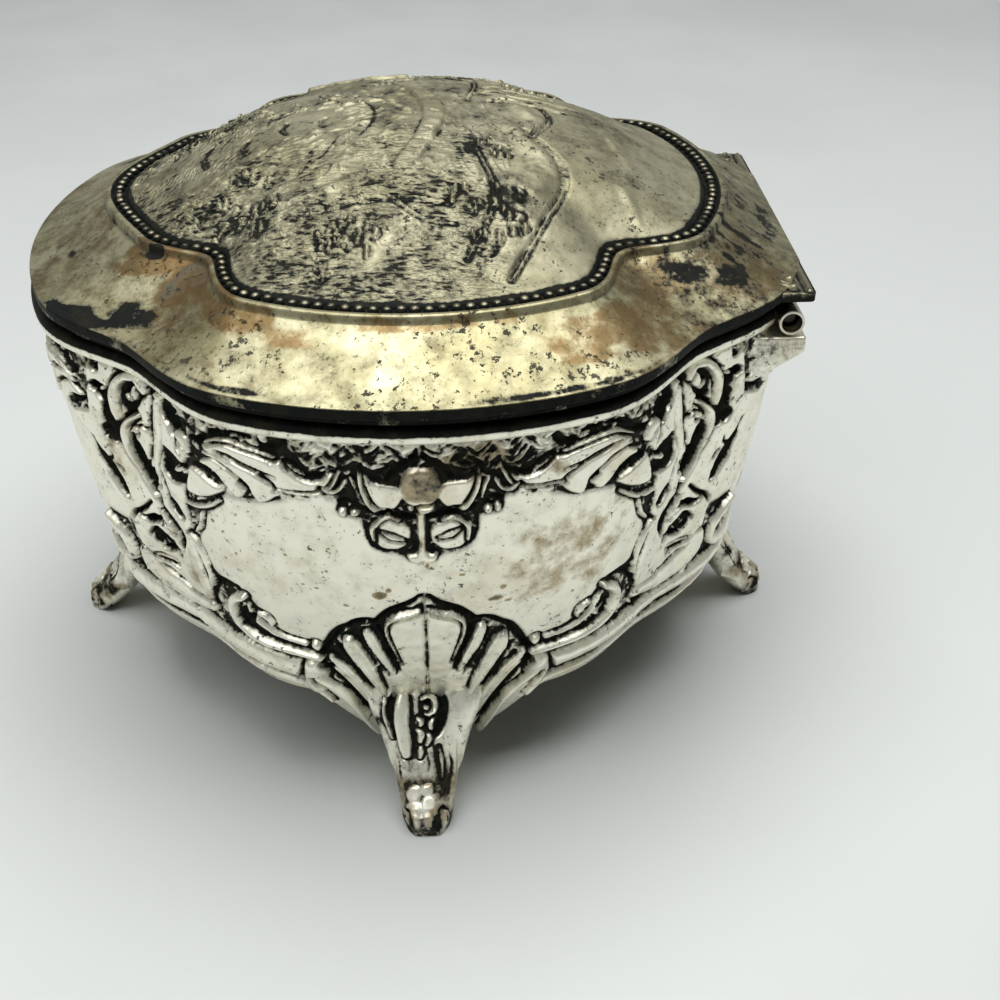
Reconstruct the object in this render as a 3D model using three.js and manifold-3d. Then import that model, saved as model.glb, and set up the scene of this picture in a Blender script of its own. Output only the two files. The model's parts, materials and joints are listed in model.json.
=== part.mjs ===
// Silver-plated trinket box: a four-lobed cast casket on cabriole feet, a domed cast lid on a
// soldered five-knuckle hinge, and a velvet-lined well.
// Millimetres, +Z up, the hinge side along +Y. The origin is the middle of the box on the plane
// that the feet stand on.

import * as THREE from 'three';
import { mergeVertices } from 'three/addons/utils/BufferGeometryUtils.js';
import Module from 'manifold-3d';

const wasm = await Module();
wasm.setup();

// Plan of the casket
const lobeCount = 4;
const aroundSteps = 48;
const softnessShare = 0.9;
const cornerSteps = 4;

// Ends of a leaf or petal against its middle, and how blunt it is
const spindleEndShare = 0.35;
const spindleBluntShare = 0.6;

// Clearances
const seatGap = 0.3;
const overrun = 2;
const weldDistance = 0.001;

// Body casting: an S-shaped wall that opens upwards from a shaped apron to a beaded rim
const rimHeight = 48.8;
const rimReach = 41.75;
const rimBeadHeight = 1.7;
const rimBeadCrestShares = [0.33, 0.67];
const neckInset = 0.95;
const apronReach = 31.6;
const apronHeight = 5;
const skirtHeight = 11.8;
const rimValleyDepth = 3.1;
const apronValleyDepth = 1.6;
const bodyValleySpread = THREE.MathUtils.degToRad(22);
const castWall = 2;
const wallCurveShare = 0.83;
const wallRowShares = [0, 0.12, 0.28, 0.46, 0.68, 1];
const innerRowShares = [0, 0.13, 0.3, 0.6, 1];
const apronInnerAngle = THREE.MathUtils.degToRad(9);
const apronOuterAngle = THREE.MathUtils.degToRad(22);

// Floor: a plate on a ledge inside the casting, a card and a padded velvet cushion
const floorPlateBase = 14;
const floorPlateThickness = 1;
const floorLedge = 1.4;
const floorCardThickness = 1.5;
const floorPadThickness = 2.6;
const floorPadCrown = 1;
// Each row: share of the pad's reach, share of its crown
const padCrownShares = [
  [0.93, 0.7],
  [0.6, 0.95],
];

// Velvet on the wall of the well
const liningThickness = 0.9;
const liningDrop = 1.6;

// Cabriole feet
const footFlare = 1.85;
const footRootHeight = 13.9;
const footRootStand = 2.6;
const footRootWidth = 13;
const legWidth = 5;
const legDepth = 3.9;
const soleDepth = 0.6;
const footSides = 10;
// Each row: share of the way out, share of the way up, share of the root width beyond the leg's,
// share of the leg's depth
const legShares = [
  [0, 1, 1, 0.5],
  [0.1, 0.86, 0.86, 0.85],
  [0.22, 0.66, 0.56, 0.98],
  [0.36, 0.45, 0.3, 1],
  [0.55, 0.27, 0.08, 1],
  [0.74, 0.155, 0, 0.95],
  [0.88, 0.12, -0.02, 0.78],
  [0.95, 0.115, -0.17, 0.45],
];

// Scallop shell over each foot
const shellFlutes = 7;
const shellFan = THREE.MathUtils.degToRad(80);
const shellBase = 12.7;
const shellInner = 3.4;
const shellLength = 15;
const shellSideLength = 11.4;
const fluteRadius = 1.45;
const middleFluteRadius = 2.5;
const fluteDepthShare = 0.6;
const fluteLift = 0.2;
const fluteRootShare = 0.4;
const fluteSwellSpread = 1.35;
const fluteSides = 5;
const fluteSteps = 3;

// Rolled edge along the apron and the C scrolls above it
const edgeLipHeight = 0.6;
const edgeLipDepth = 0.45;
const edgeGrooveHeight = 1.1;
const edgeGrooveDepth = 0.3;
const edgeRollHeight = 3;
const edgeRollDepth = 1.2;
const edgeRollCrestShares = [0.25, 0.75];
const scrollRadius = 0.85;
const scrollLift = 0.2;
const scrollWidthShares = [1.15, 0.65];
const scrollSides = 5;
const scrollSteps = 8;
// Each row: share of half a lobe's angle, share of the height from the apron's edge to the rim
const scrollShares = [
  [0.33, 0.1],
  [0.5, 0.09],
  [0.7, 0.13],
  [0.84, 0.23],
  [0.86, 0.34],
  [0.76, 0.37],
  [0.72, 0.3],
];

// Leaf under the rim on both sides of a lobe's middle
const rimLeafRadius = 0.8;
const rimLeafLift = 0.15;
const rimLeafSteps = 5;
// Each row: share of half a lobe's angle, share of the height from the apron's edge to the rim
const rimLeafShares = [
  [0.7, 0.9],
  [0.61, 0.927],
  [0.49, 0.91],
  [0.38, 0.862],
  [0.3, 0.862],
  [0.22, 0.912],
];

// Pilaster in each valley: a volute under the rim and a leaf that falls to the apron
const voluteRadius = 0.95;
const voluteTurns = 1.35;
const voluteStartReach = 3.1;
const voluteEndReach = 1.1;
const voluteHeightShare = 0.86;
const voluteSteps = 9;
const voluteWidthShares = [1, 0.65];
const leafRadius = 1.25;
const leafLift = 0.3;
const leafSteps = 5;
// Each row: share of half a lobe's angle away from the valley, share of the wall's height
const leafShares = [
  [0.1, 0.76],
  [0.02, 0.6],
  [-0.06, 0.4],
  [-0.02, 0.2],
  [0, 0.08],
];

// Palmette under the rim in the middle of each lobe
const palmetteHeightShare = 0.9;
const palmetteLength = 7.4;
const palmetteRadius = 1.25;
const palmetteLift = 0.25;
const palmetteSpread = THREE.MathUtils.degToRad(62);

// Lid casting: a stepped rim, a cove, a flat-lipped medallion and a dome
const lidOverhang = 0.45;
const lidFrontTrim = 0.9;
const lidValleyDepth = 2.7;
const lidValleySpread = THREE.MathUtils.degToRad(20);
const lidBandHeight = 1;
const lidBandInset = 1;
const lidFaceHeight = 1.1;
const lidRestWidth = 2.9;
const lidWall = 1.7;
const lidBorder = 8.3;
const lipValleyDepth = 4.6;
const lipValleySpread = THREE.MathUtils.degToRad(17);
const lipFrontTrim = 0.6;
const lipFrontWaist = 2.3;
const lipTrimEdge = THREE.MathUtils.degToRad(10);
const lipWaistAngle = THREE.MathUtils.degToRad(30);
const lipWaistEdge = THREE.MathUtils.degToRad(52);
const lipHeight = 56.2;
const lipStep = 0.9;
const lipWidth = 1;
const lipRoundShare = 0.33;
const beadWidth = 1.4;
const beadDepth = 0.35;
const domeRise = 8.8;
const domeEdgePower = 6;
const coveCurveShare = 1.15;
const coveShares = [0.35, 0.72, 1];
// Each row: share of the way in from the rim, share of the cove's way whose height it has
const coveInnerShares = [
  [0.9, 1],
  [0.45, 0.6],
];
const domeShares = [0.93, 0.84, 0.72, 0.58, 0.44, 0.29, 0.14];
const domeInnerShares = [0.4, 0.88];

// Country view on the dome: each form stands up from a ground that lies this much lower.
// Each row: shares of the lip's reach to the right, towards the hinge and around the form, and the
// share of the depth that it stands up
const pictureDepth = 0.7;
const pictureFadeShares = [0.86, 0.96];
const pictureFormShares = [
  [-0.5, 0.42, 0.3, 1],
  [-0.66, 0.26, 0.2, 0.9],
  [-0.5, -0.1, 0.14, 0.6],
  [0.58, 0.2, 0.22, 0.9],
  [0.57, -0.12, 0.13, 0.6],
  [-0.7, -0.18, 0.2, 0.85],
  [-0.42, -0.52, 0.22, 0.9],
  [0.46, -0.5, 0.23, 0.9],
  [0.72, -0.18, 0.17, 0.8],
  [-0.16, -0.72, 0.16, 0.8],
  [0.08, 0.02, 0.16, 0.85],
  [-0.2, 0.0, 0.13, 0.7],
  [0.34, 0.0, 0.13, 0.7],
  [-0.16, 0.36, 0.17, 0.75],
  [0.28, 0.3, 0.13, 0.6],
];

// Hinge: flange of the lid, rebate in the body's bracket, tube knuckles and a pin
const flangeWidth = 40.6;
const flangeInset = 1.45;
const flangeLength = 13.3;
const flangeCorner = 1.5;
const flangeOverhang = 2.2;
const hingeDrop = 1;
const knuckleDiameter = 2.65;
const knuckleWall = 0.28;
const knuckleCount = 5;
const knuckleSides = 16;
const pinDiameter = 1.5;
const pinRecess = 1.6;
const pinSides = 16;
const solderWidth = 1.3;
const bracketLip = 1.7;
const bracketLipHeight = 1.7;
const bracketSlopeDepth = 5.2;
const bracketSlopeDrop = 3.4;
const bracketLength = 13.8;
const bracketDepth = 12;
const bracketInnerShare = 0.8;

// Sizes that follow from the ones above
const neckReach = rimReach - neckInset;
const footReach = rimReach + footFlare;
const footRootReach = apronReach + footRootStand;
const lidReach = rimReach + lidOverhang;
const lipReach = lidReach - lidBorder;
const flangeEdge = rimReach - flangeInset;
const flangeRoot = flangeEdge - flangeLength;
const lobeAngle = (2 * Math.PI) / lobeCount;
const halfLobe = lobeAngle / 2;
const backAngle = Math.PI / 2;
const hingeY = flangeEdge - flangeOverhang;
const hingeZ = rimHeight - hingeDrop;
const knuckleRadius = knuckleDiameter / 2;
const rebateY = hingeY - knuckleRadius - seatGap;
const bracketEnd = hingeY + bracketLip;
const bracketRoot = bracketEnd - bracketLength;
const shelfZ = hingeZ - knuckleRadius - seatGap;
const lidBase = rimHeight + seatGap;
const bandTop = lidBase + lidBandHeight;
const faceTop = bandTop + lidFaceHeight;
const knuckleLength = (flangeWidth - (knuckleCount - 1) * seatGap) / knuckleCount;
const ledgeHeight = floorPlateBase - seatGap;
const wellRowHeights = innerRowShares.map((share) =>
  THREE.MathUtils.lerp(rimHeight, ledgeHeight, share),
);
const wellFloor = floorPlateBase + floorPlateThickness + floorCardThickness + 2 * seatGap;

// Materials
function metal(color, roughness) {
  return new THREE.MeshStandardMaterial({ color, roughness, metalness: 1 });
}

function cloth(color) {
  return new THREE.MeshStandardMaterial({ color, roughness: 0.95, metalness: 0 });
}

const silverPlate = metal(0xc9c6b4, 0.34);
const tarnishedPlate = metal(0x9a957c, 0.4);
const hingeBrass = metal(0xb8b5a6, 0.3);
const pinSteel = metal(0x6c6d6c, 0.4);
const floorMetal = metal(0x8f8f86, 0.5);
const velvet = cloth(0x6d1220);
const cardboard = cloth(0x9b8a6c);

// Outlines and surfaces

// Angle from the nearest valley between two lobes; a lobe's middle is at angle zero
function fromValley(angle) {
  const turned = ((angle % lobeAngle) + lobeAngle) % lobeAngle;
  return Math.abs(turned - halfLobe);
}

function lobed(angle, reach, depth, spread) {
  const away = Math.min(1, fromValley(angle) / spread);
  const notch = Math.cos((Math.PI / 2) * away ** softnessShare) ** 2;
  return reach - depth * notch;
}

function rimOutline(reach) {
  return (angle) => lobed(angle, reach, rimValleyDepth, bodyValleySpread);
}

// Height of the apron's lower edge: low beside each foot, high in the valleys
function skirtEdge(angle) {
  const fromMiddle = halfLobe - fromValley(angle);
  const rise = THREE.MathUtils.smoothstep(fromMiddle, apronInnerAngle, apronOuterAngle);
  return THREE.MathUtils.lerp(apronHeight, skirtHeight, rise);
}

function wallShare(height) {
  const share = (height - apronHeight) / (rimHeight - rimBeadHeight - apronHeight);
  return THREE.MathUtils.clamp(share, 0, 1);
}

function wallReach(height) {
  const swell = Math.sin((Math.PI / 2) * wallShare(height) ** wallCurveShare);
  return THREE.MathUtils.lerp(apronReach, neckReach, swell);
}

// The valleys between the lobes deepen towards the rim
function wallRadius(angle, height) {
  const depth = THREE.MathUtils.lerp(apronValleyDepth, rimValleyDepth, wallShare(height));
  return lobed(angle, wallReach(height), depth, bodyValleySpread);
}

function polar(angle, radius, height) {
  return new THREE.Vector3(radius * Math.cos(angle), radius * Math.sin(angle), height);
}

function onWall(angle, height, lift) {
  return polar(angle, wallRadius(angle, height) + lift, height);
}

// Inside of the wall; in front of the hinge's rebate it keeps the casting's thickness too
function wellRowRadius(angle, height) {
  const free = wallRadius(angle, height) - castWall;
  const back = Math.sin(angle);
  if (back <= 0) return free;
  const below = Math.max(0, shelfZ - castWall - height);
  const rebateInside = rebateY - castWall + below * bracketInnerShare;
  return Math.min(free, rebateInside / back);
}

// The inside is straight between its rows, so that what lines it fits at any height
function wellRadius(angle, height) {
  const held = THREE.MathUtils.clamp(height, ledgeHeight, rimHeight);
  const below = Math.max(1, wellRowHeights.findIndex((row) => row <= held));
  const [high, low] = [wellRowHeights[below - 1], wellRowHeights[below]];
  const share = (high - held) / (high - low);
  return THREE.MathUtils.lerp(wellRowRadius(angle, high), wellRowRadius(angle, low), share);
}

function around(radiusAt, heightAt, steps = aroundSteps) {
  const ring = [];
  for (let i = 0; i < steps; i += 1) {
    const angle = (2 * Math.PI * i) / steps;
    ring.push(polar(angle, radiusAt(angle), heightAt(angle)));
  }
  return ring;
}

function level(height) {
  return () => height;
}

// Solids

// Skin over rings of equal count, each turning counterclockwise about the way they follow each
// other. The two ends are closed by a fan to a middle point.
function skin(rings, first, last) {
  const count = rings[0].length;
  const points = rings.flat();
  points.push(first, last);
  const start = points.length - 2;
  const end = points.length - 1;
  const faces = [];
  for (let i = 0; i + 1 < rings.length; i += 1) {
    for (let j = 0; j < count; j += 1) {
      const next = (j + 1) % count;
      const a = i * count + j;
      const b = i * count + next;
      const c = (i + 1) * count + next;
      const d = (i + 1) * count + j;
      faces.push(a, b, c, a, c, d);
    }
  }
  const lastRing = (rings.length - 1) * count;
  for (let j = 0; j < count; j += 1) {
    const next = (j + 1) % count;
    faces.push(start, next, j);
    faces.push(end, lastRing + j, lastRing + next);
  }
  const geometry = new THREE.BufferGeometry().setFromPoints(points);
  geometry.setIndex(faces);
  return geometry;
}

function axisPoint(height) {
  return new THREE.Vector3(0, 0, height);
}

function toSolid(geometry) {
  const bare = new THREE.BufferGeometry();
  bare.setAttribute('position', geometry.getAttribute('position'));
  if (geometry.index) bare.setIndex(geometry.index);
  const merged = mergeVertices(bare, weldDistance);
  const vertProperties = merged.getAttribute('position').array;
  const triVerts = new Uint32Array(merged.index.array);
  return new wasm.Manifold(new wasm.Mesh({ numProp: 3, vertProperties, triVerts }));
}

function toGeometry(solid) {
  const { vertProperties, triVerts } = solid.getMesh();
  const geometry = new THREE.BufferGeometry();
  geometry.setAttribute('position', new THREE.BufferAttribute(vertProperties, 3));
  geometry.setIndex(new THREE.BufferAttribute(triVerts, 1));
  const flat = geometry.toNonIndexed();
  flat.computeVertexNormals();
  return flat;
}

function joined(solids) {
  return solids.reduce((whole, piece) => whole.add(piece));
}

function box(xMin, xMax, yMin, yMax, zMin, zMax) {
  const geometry = new THREE.BoxGeometry(xMax - xMin, yMax - yMin, zMax - zMin);
  geometry.translate((xMin + xMax) / 2, (yMin + yMax) / 2, (zMin + zMax) / 2);
  return toSolid(geometry);
}

// Prism along X whose section is drawn in Y and Z
function prismAlongX(section, width) {
  const shape = new THREE.Shape(section.map(([y, z]) => new THREE.Vector2(y, z)));
  const geometry = new THREE.ExtrudeGeometry(shape, { depth: width, bevelEnabled: false });
  geometry.translate(0, 0, -width / 2);
  const turn = new THREE.Matrix4().set(0, 0, 1, 0, 1, 0, 0, 0, 0, 1, 0, 0, 0, 0, 0, 1);
  geometry.applyMatrix4(turn);
  return toSolid(geometry);
}

// Rod of changing width along a smooth curve through the given points. It is an oval whose depth,
// away from the middle axis of the box, is a share of its width.
function taperedRod(points, radiusAt, sides, steps, depthShare = 1) {
  const curve = new THREE.CatmullRomCurve3(points);
  const rings = [];
  for (let i = 0; i <= steps; i += 1) {
    const share = i / steps;
    const centre = curve.getPointAt(share);
    const tangent = curve.getTangentAt(share);
    const outward = new THREE.Vector3(centre.x, centre.y, 0).normalize();
    const across = outward.clone().cross(tangent).normalize();
    const away = tangent.clone().cross(across);
    const ring = [];
    for (let j = 0; j < sides; j += 1) {
      const turn = (2 * Math.PI * j) / sides;
      const point = centre.clone();
      point.addScaledVector(across, radiusAt(share) * Math.cos(turn));
      point.addScaledVector(away, -depthShare * radiusAt(share) * Math.sin(turn));
      ring.push(point);
    }
    rings.push(ring.reverse());
  }
  return toSolid(skin(rings, curve.getPointAt(0), curve.getPointAt(1)));
}

function spindle(radius) {
  return (share) => {
    const bulge = Math.sin(Math.PI * share) ** spindleBluntShare;
    return radius * THREE.MathUtils.lerp(spindleEndShare, 1, bulge);
  };
}

function narrowing(radius, [first, last]) {
  return (share) => radius * THREE.MathUtils.lerp(first, last, share);
}

// Body casting

// Wall of the casket as one closed band: up the outside from the rolled edge to the beaded rim,
// and down the inside past the ledge for the floor plate
function bodyWall() {
  const beadBase = rimHeight - rimBeadHeight;
  const columns = [];
  for (let i = 0; i < aroundSteps; i += 1) {
    const angle = (2 * Math.PI * i) / aroundSteps;
    const edge = skirtEdge(angle);
    const rollBase = edge + edgeLipHeight + edgeGrooveHeight;
    const rollTop = rollBase + edgeRollHeight;
    const at = (height, lift) => onWall(angle, height, lift);
    const rimPoint = (height, reach) => polar(angle, rimOutline(reach)(angle), height);
    const column = [
      at(edge, edgeLipDepth),
      at(edge + edgeLipHeight, edgeLipDepth),
      at(rollBase, -edgeGrooveDepth),
      ...edgeRollCrestShares.map((share) => at(rollBase + edgeRollHeight * share, edgeRollDepth)),
      at(rollTop, 0),
    ];
    wallRowShares.slice(1).forEach((share) => {
      column.push(at(THREE.MathUtils.lerp(rollTop, beadBase, share), 0));
    });
    rimBeadCrestShares.forEach((share) => {
      column.push(rimPoint(beadBase + rimBeadHeight * share, rimReach));
    });
    column.push(rimPoint(rimHeight, neckReach));
    wellRowHeights.forEach((height) => column.push(polar(angle, wellRadius(angle, height), height)));
    column.push(at(ledgeHeight, -castWall - floorLedge));
    column.push(at(Math.max(edge, skirtHeight) - floorLedge, -castWall - floorLedge));
    column.push(at(edge, -castWall));
    columns.push(column);
  }
  return toSolid(closedSkin(columns));
}

// One cabriole foot: elliptical sections along a bowed leg that turns out into a toe
function foot(angle) {
  const centres = legShares.map(([outShare, upShare]) => [
    THREE.MathUtils.lerp(footRootReach, footReach, outShare),
    footRootHeight * upShare,
  ]);
  const outward = polar(angle, 1, 0);
  const sideways = polar(angle + Math.PI / 2, 1, 0);
  const rings = centres.map(([reach, height], i) => {
    const [beforeReach, beforeHeight] = centres[Math.max(0, i - 1)];
    const [afterReach, afterHeight] = centres[Math.min(centres.length - 1, i + 1)];
    const along = new THREE.Vector2(afterReach - beforeReach, afterHeight - beforeHeight);
    along.normalize();
    const [, , widthShare, depthShare] = legShares[i];
    const halfWidth = THREE.MathUtils.lerp(legWidth, footRootWidth, widthShare) / 2;
    const halfDepth = (legDepth * depthShare) / 2;
    const ring = [];
    for (let j = 0; j < footSides; j += 1) {
      const turn = (2 * Math.PI * j) / footSides;
      const across = halfWidth * Math.cos(turn);
      const through = halfDepth * Math.sin(turn);
      const point = outward.clone().multiplyScalar(reach - along.y * through);
      point.addScaledVector(sideways, across);
      point.z = height + along.x * through - soleDepth;
      ring.push(point);
    }
    return ring;
  });
  const ends = [rings[0], rings[rings.length - 1]].map((ring) => {
    const middle = new THREE.Vector3();
    ring.forEach((point) => middle.addScaledVector(point, 1 / ring.length));
    return middle;
  });
  return toSolid(skin(rings, ends[0], ends[1]));
}

// Scallop shell: flutes that fan out over the root of a foot
function shell(angle) {
  const flutes = [];
  for (let i = 0; i < shellFlutes; i += 1) {
    const share = (2 * i) / (shellFlutes - 1) - 1;
    const fan = share * shellFan;
    const length = THREE.MathUtils.lerp(shellLength, shellSideLength, Math.abs(share));
    const at = (distance) => {
      const height = shellBase + distance * Math.cos(fan);
      const sweep = (distance * Math.sin(fan)) / wallReach(height);
      return onWall(angle + sweep, height, fluteLift);
    };
    const reaches = [shellInner, (shellInner + length) / 2, length];
    const widest = i === (shellFlutes - 1) / 2 ? middleFluteRadius : fluteRadius;
    const swell = (along) => {
      const bulge = Math.sin((Math.PI * along) / fluteSwellSpread);
      return widest * THREE.MathUtils.lerp(fluteRootShare, 1, bulge);
    };
    flutes.push(taperedRod(reaches.map(at), swell, fluteSides, fluteSteps, fluteDepthShare));
  }
  return joined(flutes);
}

// Skin over rings that come back to the first one. Crossed, its corners are split the other way,
// to lie along a skin that runs the other way.
function closedSkin(rings, crossed = false) {
  const count = rings[0].length;
  const faces = [];
  for (let i = 0; i < rings.length; i += 1) {
    for (let j = 0; j < count; j += 1) {
      const next = (j + 1) % count;
      const following = (i + 1) % rings.length;
      const a = i * count + j;
      const b = i * count + next;
      const c = following * count + next;
      const d = following * count + j;
      faces.push(...(crossed ? [a, d, b, b, d, c] : [a, c, b, a, d, c]));
    }
  }
  const geometry = new THREE.BufferGeometry().setFromPoints(rings.flat());
  geometry.setIndex(faces);
  return geometry;
}

function wallPoint(middle, angleShare, heightShare, lift) {
  const angle = middle + angleShare * halfLobe;
  const height = THREE.MathUtils.lerp(skirtEdge(angle), rimHeight - rimBeadHeight, heightShare);
  return onWall(angle, height, lift);
}

function scroll(middle, side) {
  const points = scrollShares.map(([angleShare, heightShare]) =>
    wallPoint(middle, side * angleShare, heightShare, scrollLift),
  );
  return taperedRod(points, narrowing(scrollRadius, scrollWidthShares), scrollSides, scrollSteps);
}

function rimLeaf(middle, side) {
  const points = rimLeafShares.map(([angleShare, heightShare]) =>
    wallPoint(middle, side * angleShare, heightShare, rimLeafLift),
  );
  return taperedRod(points, spindle(rimLeafRadius), scrollSides, rimLeafSteps);
}

function volute(valley) {
  const height = THREE.MathUtils.lerp(skirtHeight, rimHeight - rimBeadHeight, voluteHeightShare);
  const points = [];
  for (let i = 0; i <= voluteSteps; i += 1) {
    const share = i / voluteSteps;
    const turn = 2 * Math.PI * voluteTurns * share - Math.PI / 2;
    const reach = THREE.MathUtils.lerp(voluteStartReach, voluteEndReach, share);
    const sweep = (reach * Math.cos(turn)) / wallReach(height);
    points.push(onWall(valley + sweep, height + reach * Math.sin(turn), leafLift));
  }
  return taperedRod(points, narrowing(voluteRadius, voluteWidthShares), scrollSides, voluteSteps);
}

function valleyLeaf(valley) {
  const points = leafShares.map(([angleShare, heightShare]) =>
    wallPoint(valley, angleShare, heightShare, leafLift),
  );
  return taperedRod(points, spindle(leafRadius), scrollSides, leafSteps);
}

function palmette(middle) {
  const top = THREE.MathUtils.lerp(skirtHeight, rimHeight - rimBeadHeight, palmetteHeightShare);
  const petals = [-palmetteSpread, 0, palmetteSpread].map((lean) => {
    const at = (distance) => {
      const height = top - distance * Math.cos(lean);
      const sweep = (distance * Math.sin(lean)) / wallReach(height);
      return onWall(middle + sweep, height, palmetteLift);
    };
    const reaches = [palmetteRadius / 2, palmetteLength / 2, palmetteLength];
    return taperedRod(reaches.map(at), spindle(palmetteRadius), fluteSides, fluteSteps);
  });
  return joined(petals);
}

// Everything inside the middle of the wall's thickness
function middleOfWallCore() {
  const low = rimHeight - bracketDepth;
  const high = rimHeight + overrun;
  const between = wellRowHeights.filter((height) => height > low);
  const heights = [low, ...between.reverse(), high];
  const rings = heights.map((height) =>
    around((angle) => wellRadius(angle, height) + castWall / 2, level(height)),
  );
  return toSolid(skin(rings, axisPoint(low), axisPoint(high)));
}

// Bracket that carries the hinge: level with the rim, with a ledge for the tubes and a sloped
// underside that runs back into the wall
function bracket() {
  const lipBase = shelfZ - bracketLipHeight;
  const section = [
    [bracketRoot, rimHeight],
    [bracketRoot, lipBase - bracketSlopeDrop],
    [bracketEnd - bracketSlopeDepth, lipBase - bracketSlopeDrop],
    [bracketEnd, lipBase],
    [bracketEnd, rimHeight],
  ];
  return prismAlongX(section, flangeWidth).subtract(middleOfWallCore());
}

// Everything behind and above the hinge's ledge is open
function hingeRebate() {
  const lipBase = shelfZ - bracketLipHeight;
  const outside = bracketEnd + overrun;
  const ledge = prismAlongX(
    [
      [rebateY, shelfZ],
      [outside + overrun, shelfZ],
      [outside + overrun, rimHeight + overrun],
      [rebateY, rimHeight + overrun],
    ],
    flangeWidth + 2 * seatGap,
  );
  const behindLip = prismAlongX(
    [
      [bracketEnd, lipBase],
      [outside, lipBase - overrun],
      [outside, shelfZ + overrun],
      [bracketEnd, shelfZ + overrun],
    ],
    flangeWidth + 2 * seatGap,
  );
  return ledge.add(behindLip);
}

function boxBody() {
  const middles = [];
  for (let i = 0; i < lobeCount; i += 1) middles.push(i * lobeAngle);
  const ornament = [];
  middles.forEach((middle) => {
    ornament.push(foot(middle), shell(middle), scroll(middle, 1), scroll(middle, -1));
    ornament.push(volute(middle + halfLobe), valleyLeaf(middle + halfLobe));
    if (Math.abs(middle - backAngle) > halfLobe) {
      ornament.push(palmette(middle), rimLeaf(middle, 1), rimLeaf(middle, -1));
    }
  });
  const far = footReach + overrun;
  return bodyWall()
    .add(joined(ornament))
    .add(bracket())
    .subtract(hingeRebate())
    .subtract(box(-far, far, -far, far, -footRootHeight, 0));
}

// Floor and lining

// Flat or crowned slab that fills the well's outline at its own height
function wellSlab(base, thickness, crown) {
  const top = base + thickness;
  const low = (angle) => wellRadius(angle, base) - seatGap;
  const rings = [around(low, level(base)), around(low, level(top - crown))];
  if (crown > 0) {
    padCrownShares.forEach(([reachShare, riseShare]) => {
      const rise = THREE.MathUtils.lerp(top - crown, top, riseShare);
      rings.push(around((angle) => reachShare * low(angle), level(rise)));
    });
  }
  return skin(rings, axisPoint(base), axisPoint(top));
}

function wallLining() {
  const base = wellFloor + floorPadThickness + seatGap;
  const top = rimHeight - liningDrop;
  const between = wellRowHeights.filter((height) => height < top && height > base);
  const heights = [top, ...between, base];
  const columns = [];
  for (let i = 0; i < aroundSteps; i += 1) {
    const angle = (2 * Math.PI * i) / aroundSteps;
    const standOff = (height, depth) => polar(angle, wellRadius(angle, height) - depth, height);
    const front = heights.map((height) => standOff(height, seatGap + liningThickness));
    const back = heights.map((height) => standOff(height, seatGap));
    columns.push([...front, ...back.reverse()]);
  }
  return closedSkin(columns, true);
}

// Lid casting

// The back lobe stops at the straight edge of the flange
function lidEdgeRadius(reach) {
  return (angle) => {
    const back = Math.sin(angle);
    const trim = lidFrontTrim * Math.max(0, -back) ** 4;
    const free = lobed(angle, reach - trim, lidValleyDepth, lidValleySpread);
    return back > 0 ? Math.min(free, (flangeEdge - (lidReach - reach)) / back) : free;
  };
}

// How far the lip's front lobe is drawn in, most of all at its waist beside the valleys
function lipTrim(angle) {
  const away = Math.acos(THREE.MathUtils.clamp(-Math.sin(angle), -1, 1));
  const front = 1 - THREE.MathUtils.smoothstep(away, lipTrimEdge, lipWaistEdge);
  const before = THREE.MathUtils.smoothstep(away, 0, lipWaistAngle);
  const after = 1 - THREE.MathUtils.smoothstep(away, lipWaistAngle, lipWaistEdge);
  return lipFrontTrim * front + lipFrontWaist * before * after;
}

function lipRadius(inset) {
  return (angle) => {
    const reach = lipReach - lipTrim(angle) - inset;
    return lobed(angle, reach, lipValleyDepth, lipValleySpread);
  };
}

function domeHeight(radius, share) {
  const middle = (radius / lipReach) ** 2;
  const edge = share ** domeEdgePower;
  return lipHeight + domeRise * (1 - middle * (1 - edge) - edge);
}

// How far the picture's ground lies under the dome at a place on it
function pictureSink(x, y, share) {
  const stands = pictureFormShares.map(([right, back, around, rise]) => {
    const far = Math.hypot(x / lipReach - right, y / lipReach - back) / around;
    return rise * (1 - THREE.MathUtils.smoothstep(far, 0, 1) ** 2);
  });
  const fade = 1 - THREE.MathUtils.smoothstep(share, ...pictureFadeShares);
  return pictureDepth * fade * (1 - Math.max(0, ...stands));
}

function blendRadius(outer, inner, share) {
  return (angle) => THREE.MathUtils.lerp(outer(angle), inner(angle), share);
}

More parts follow.
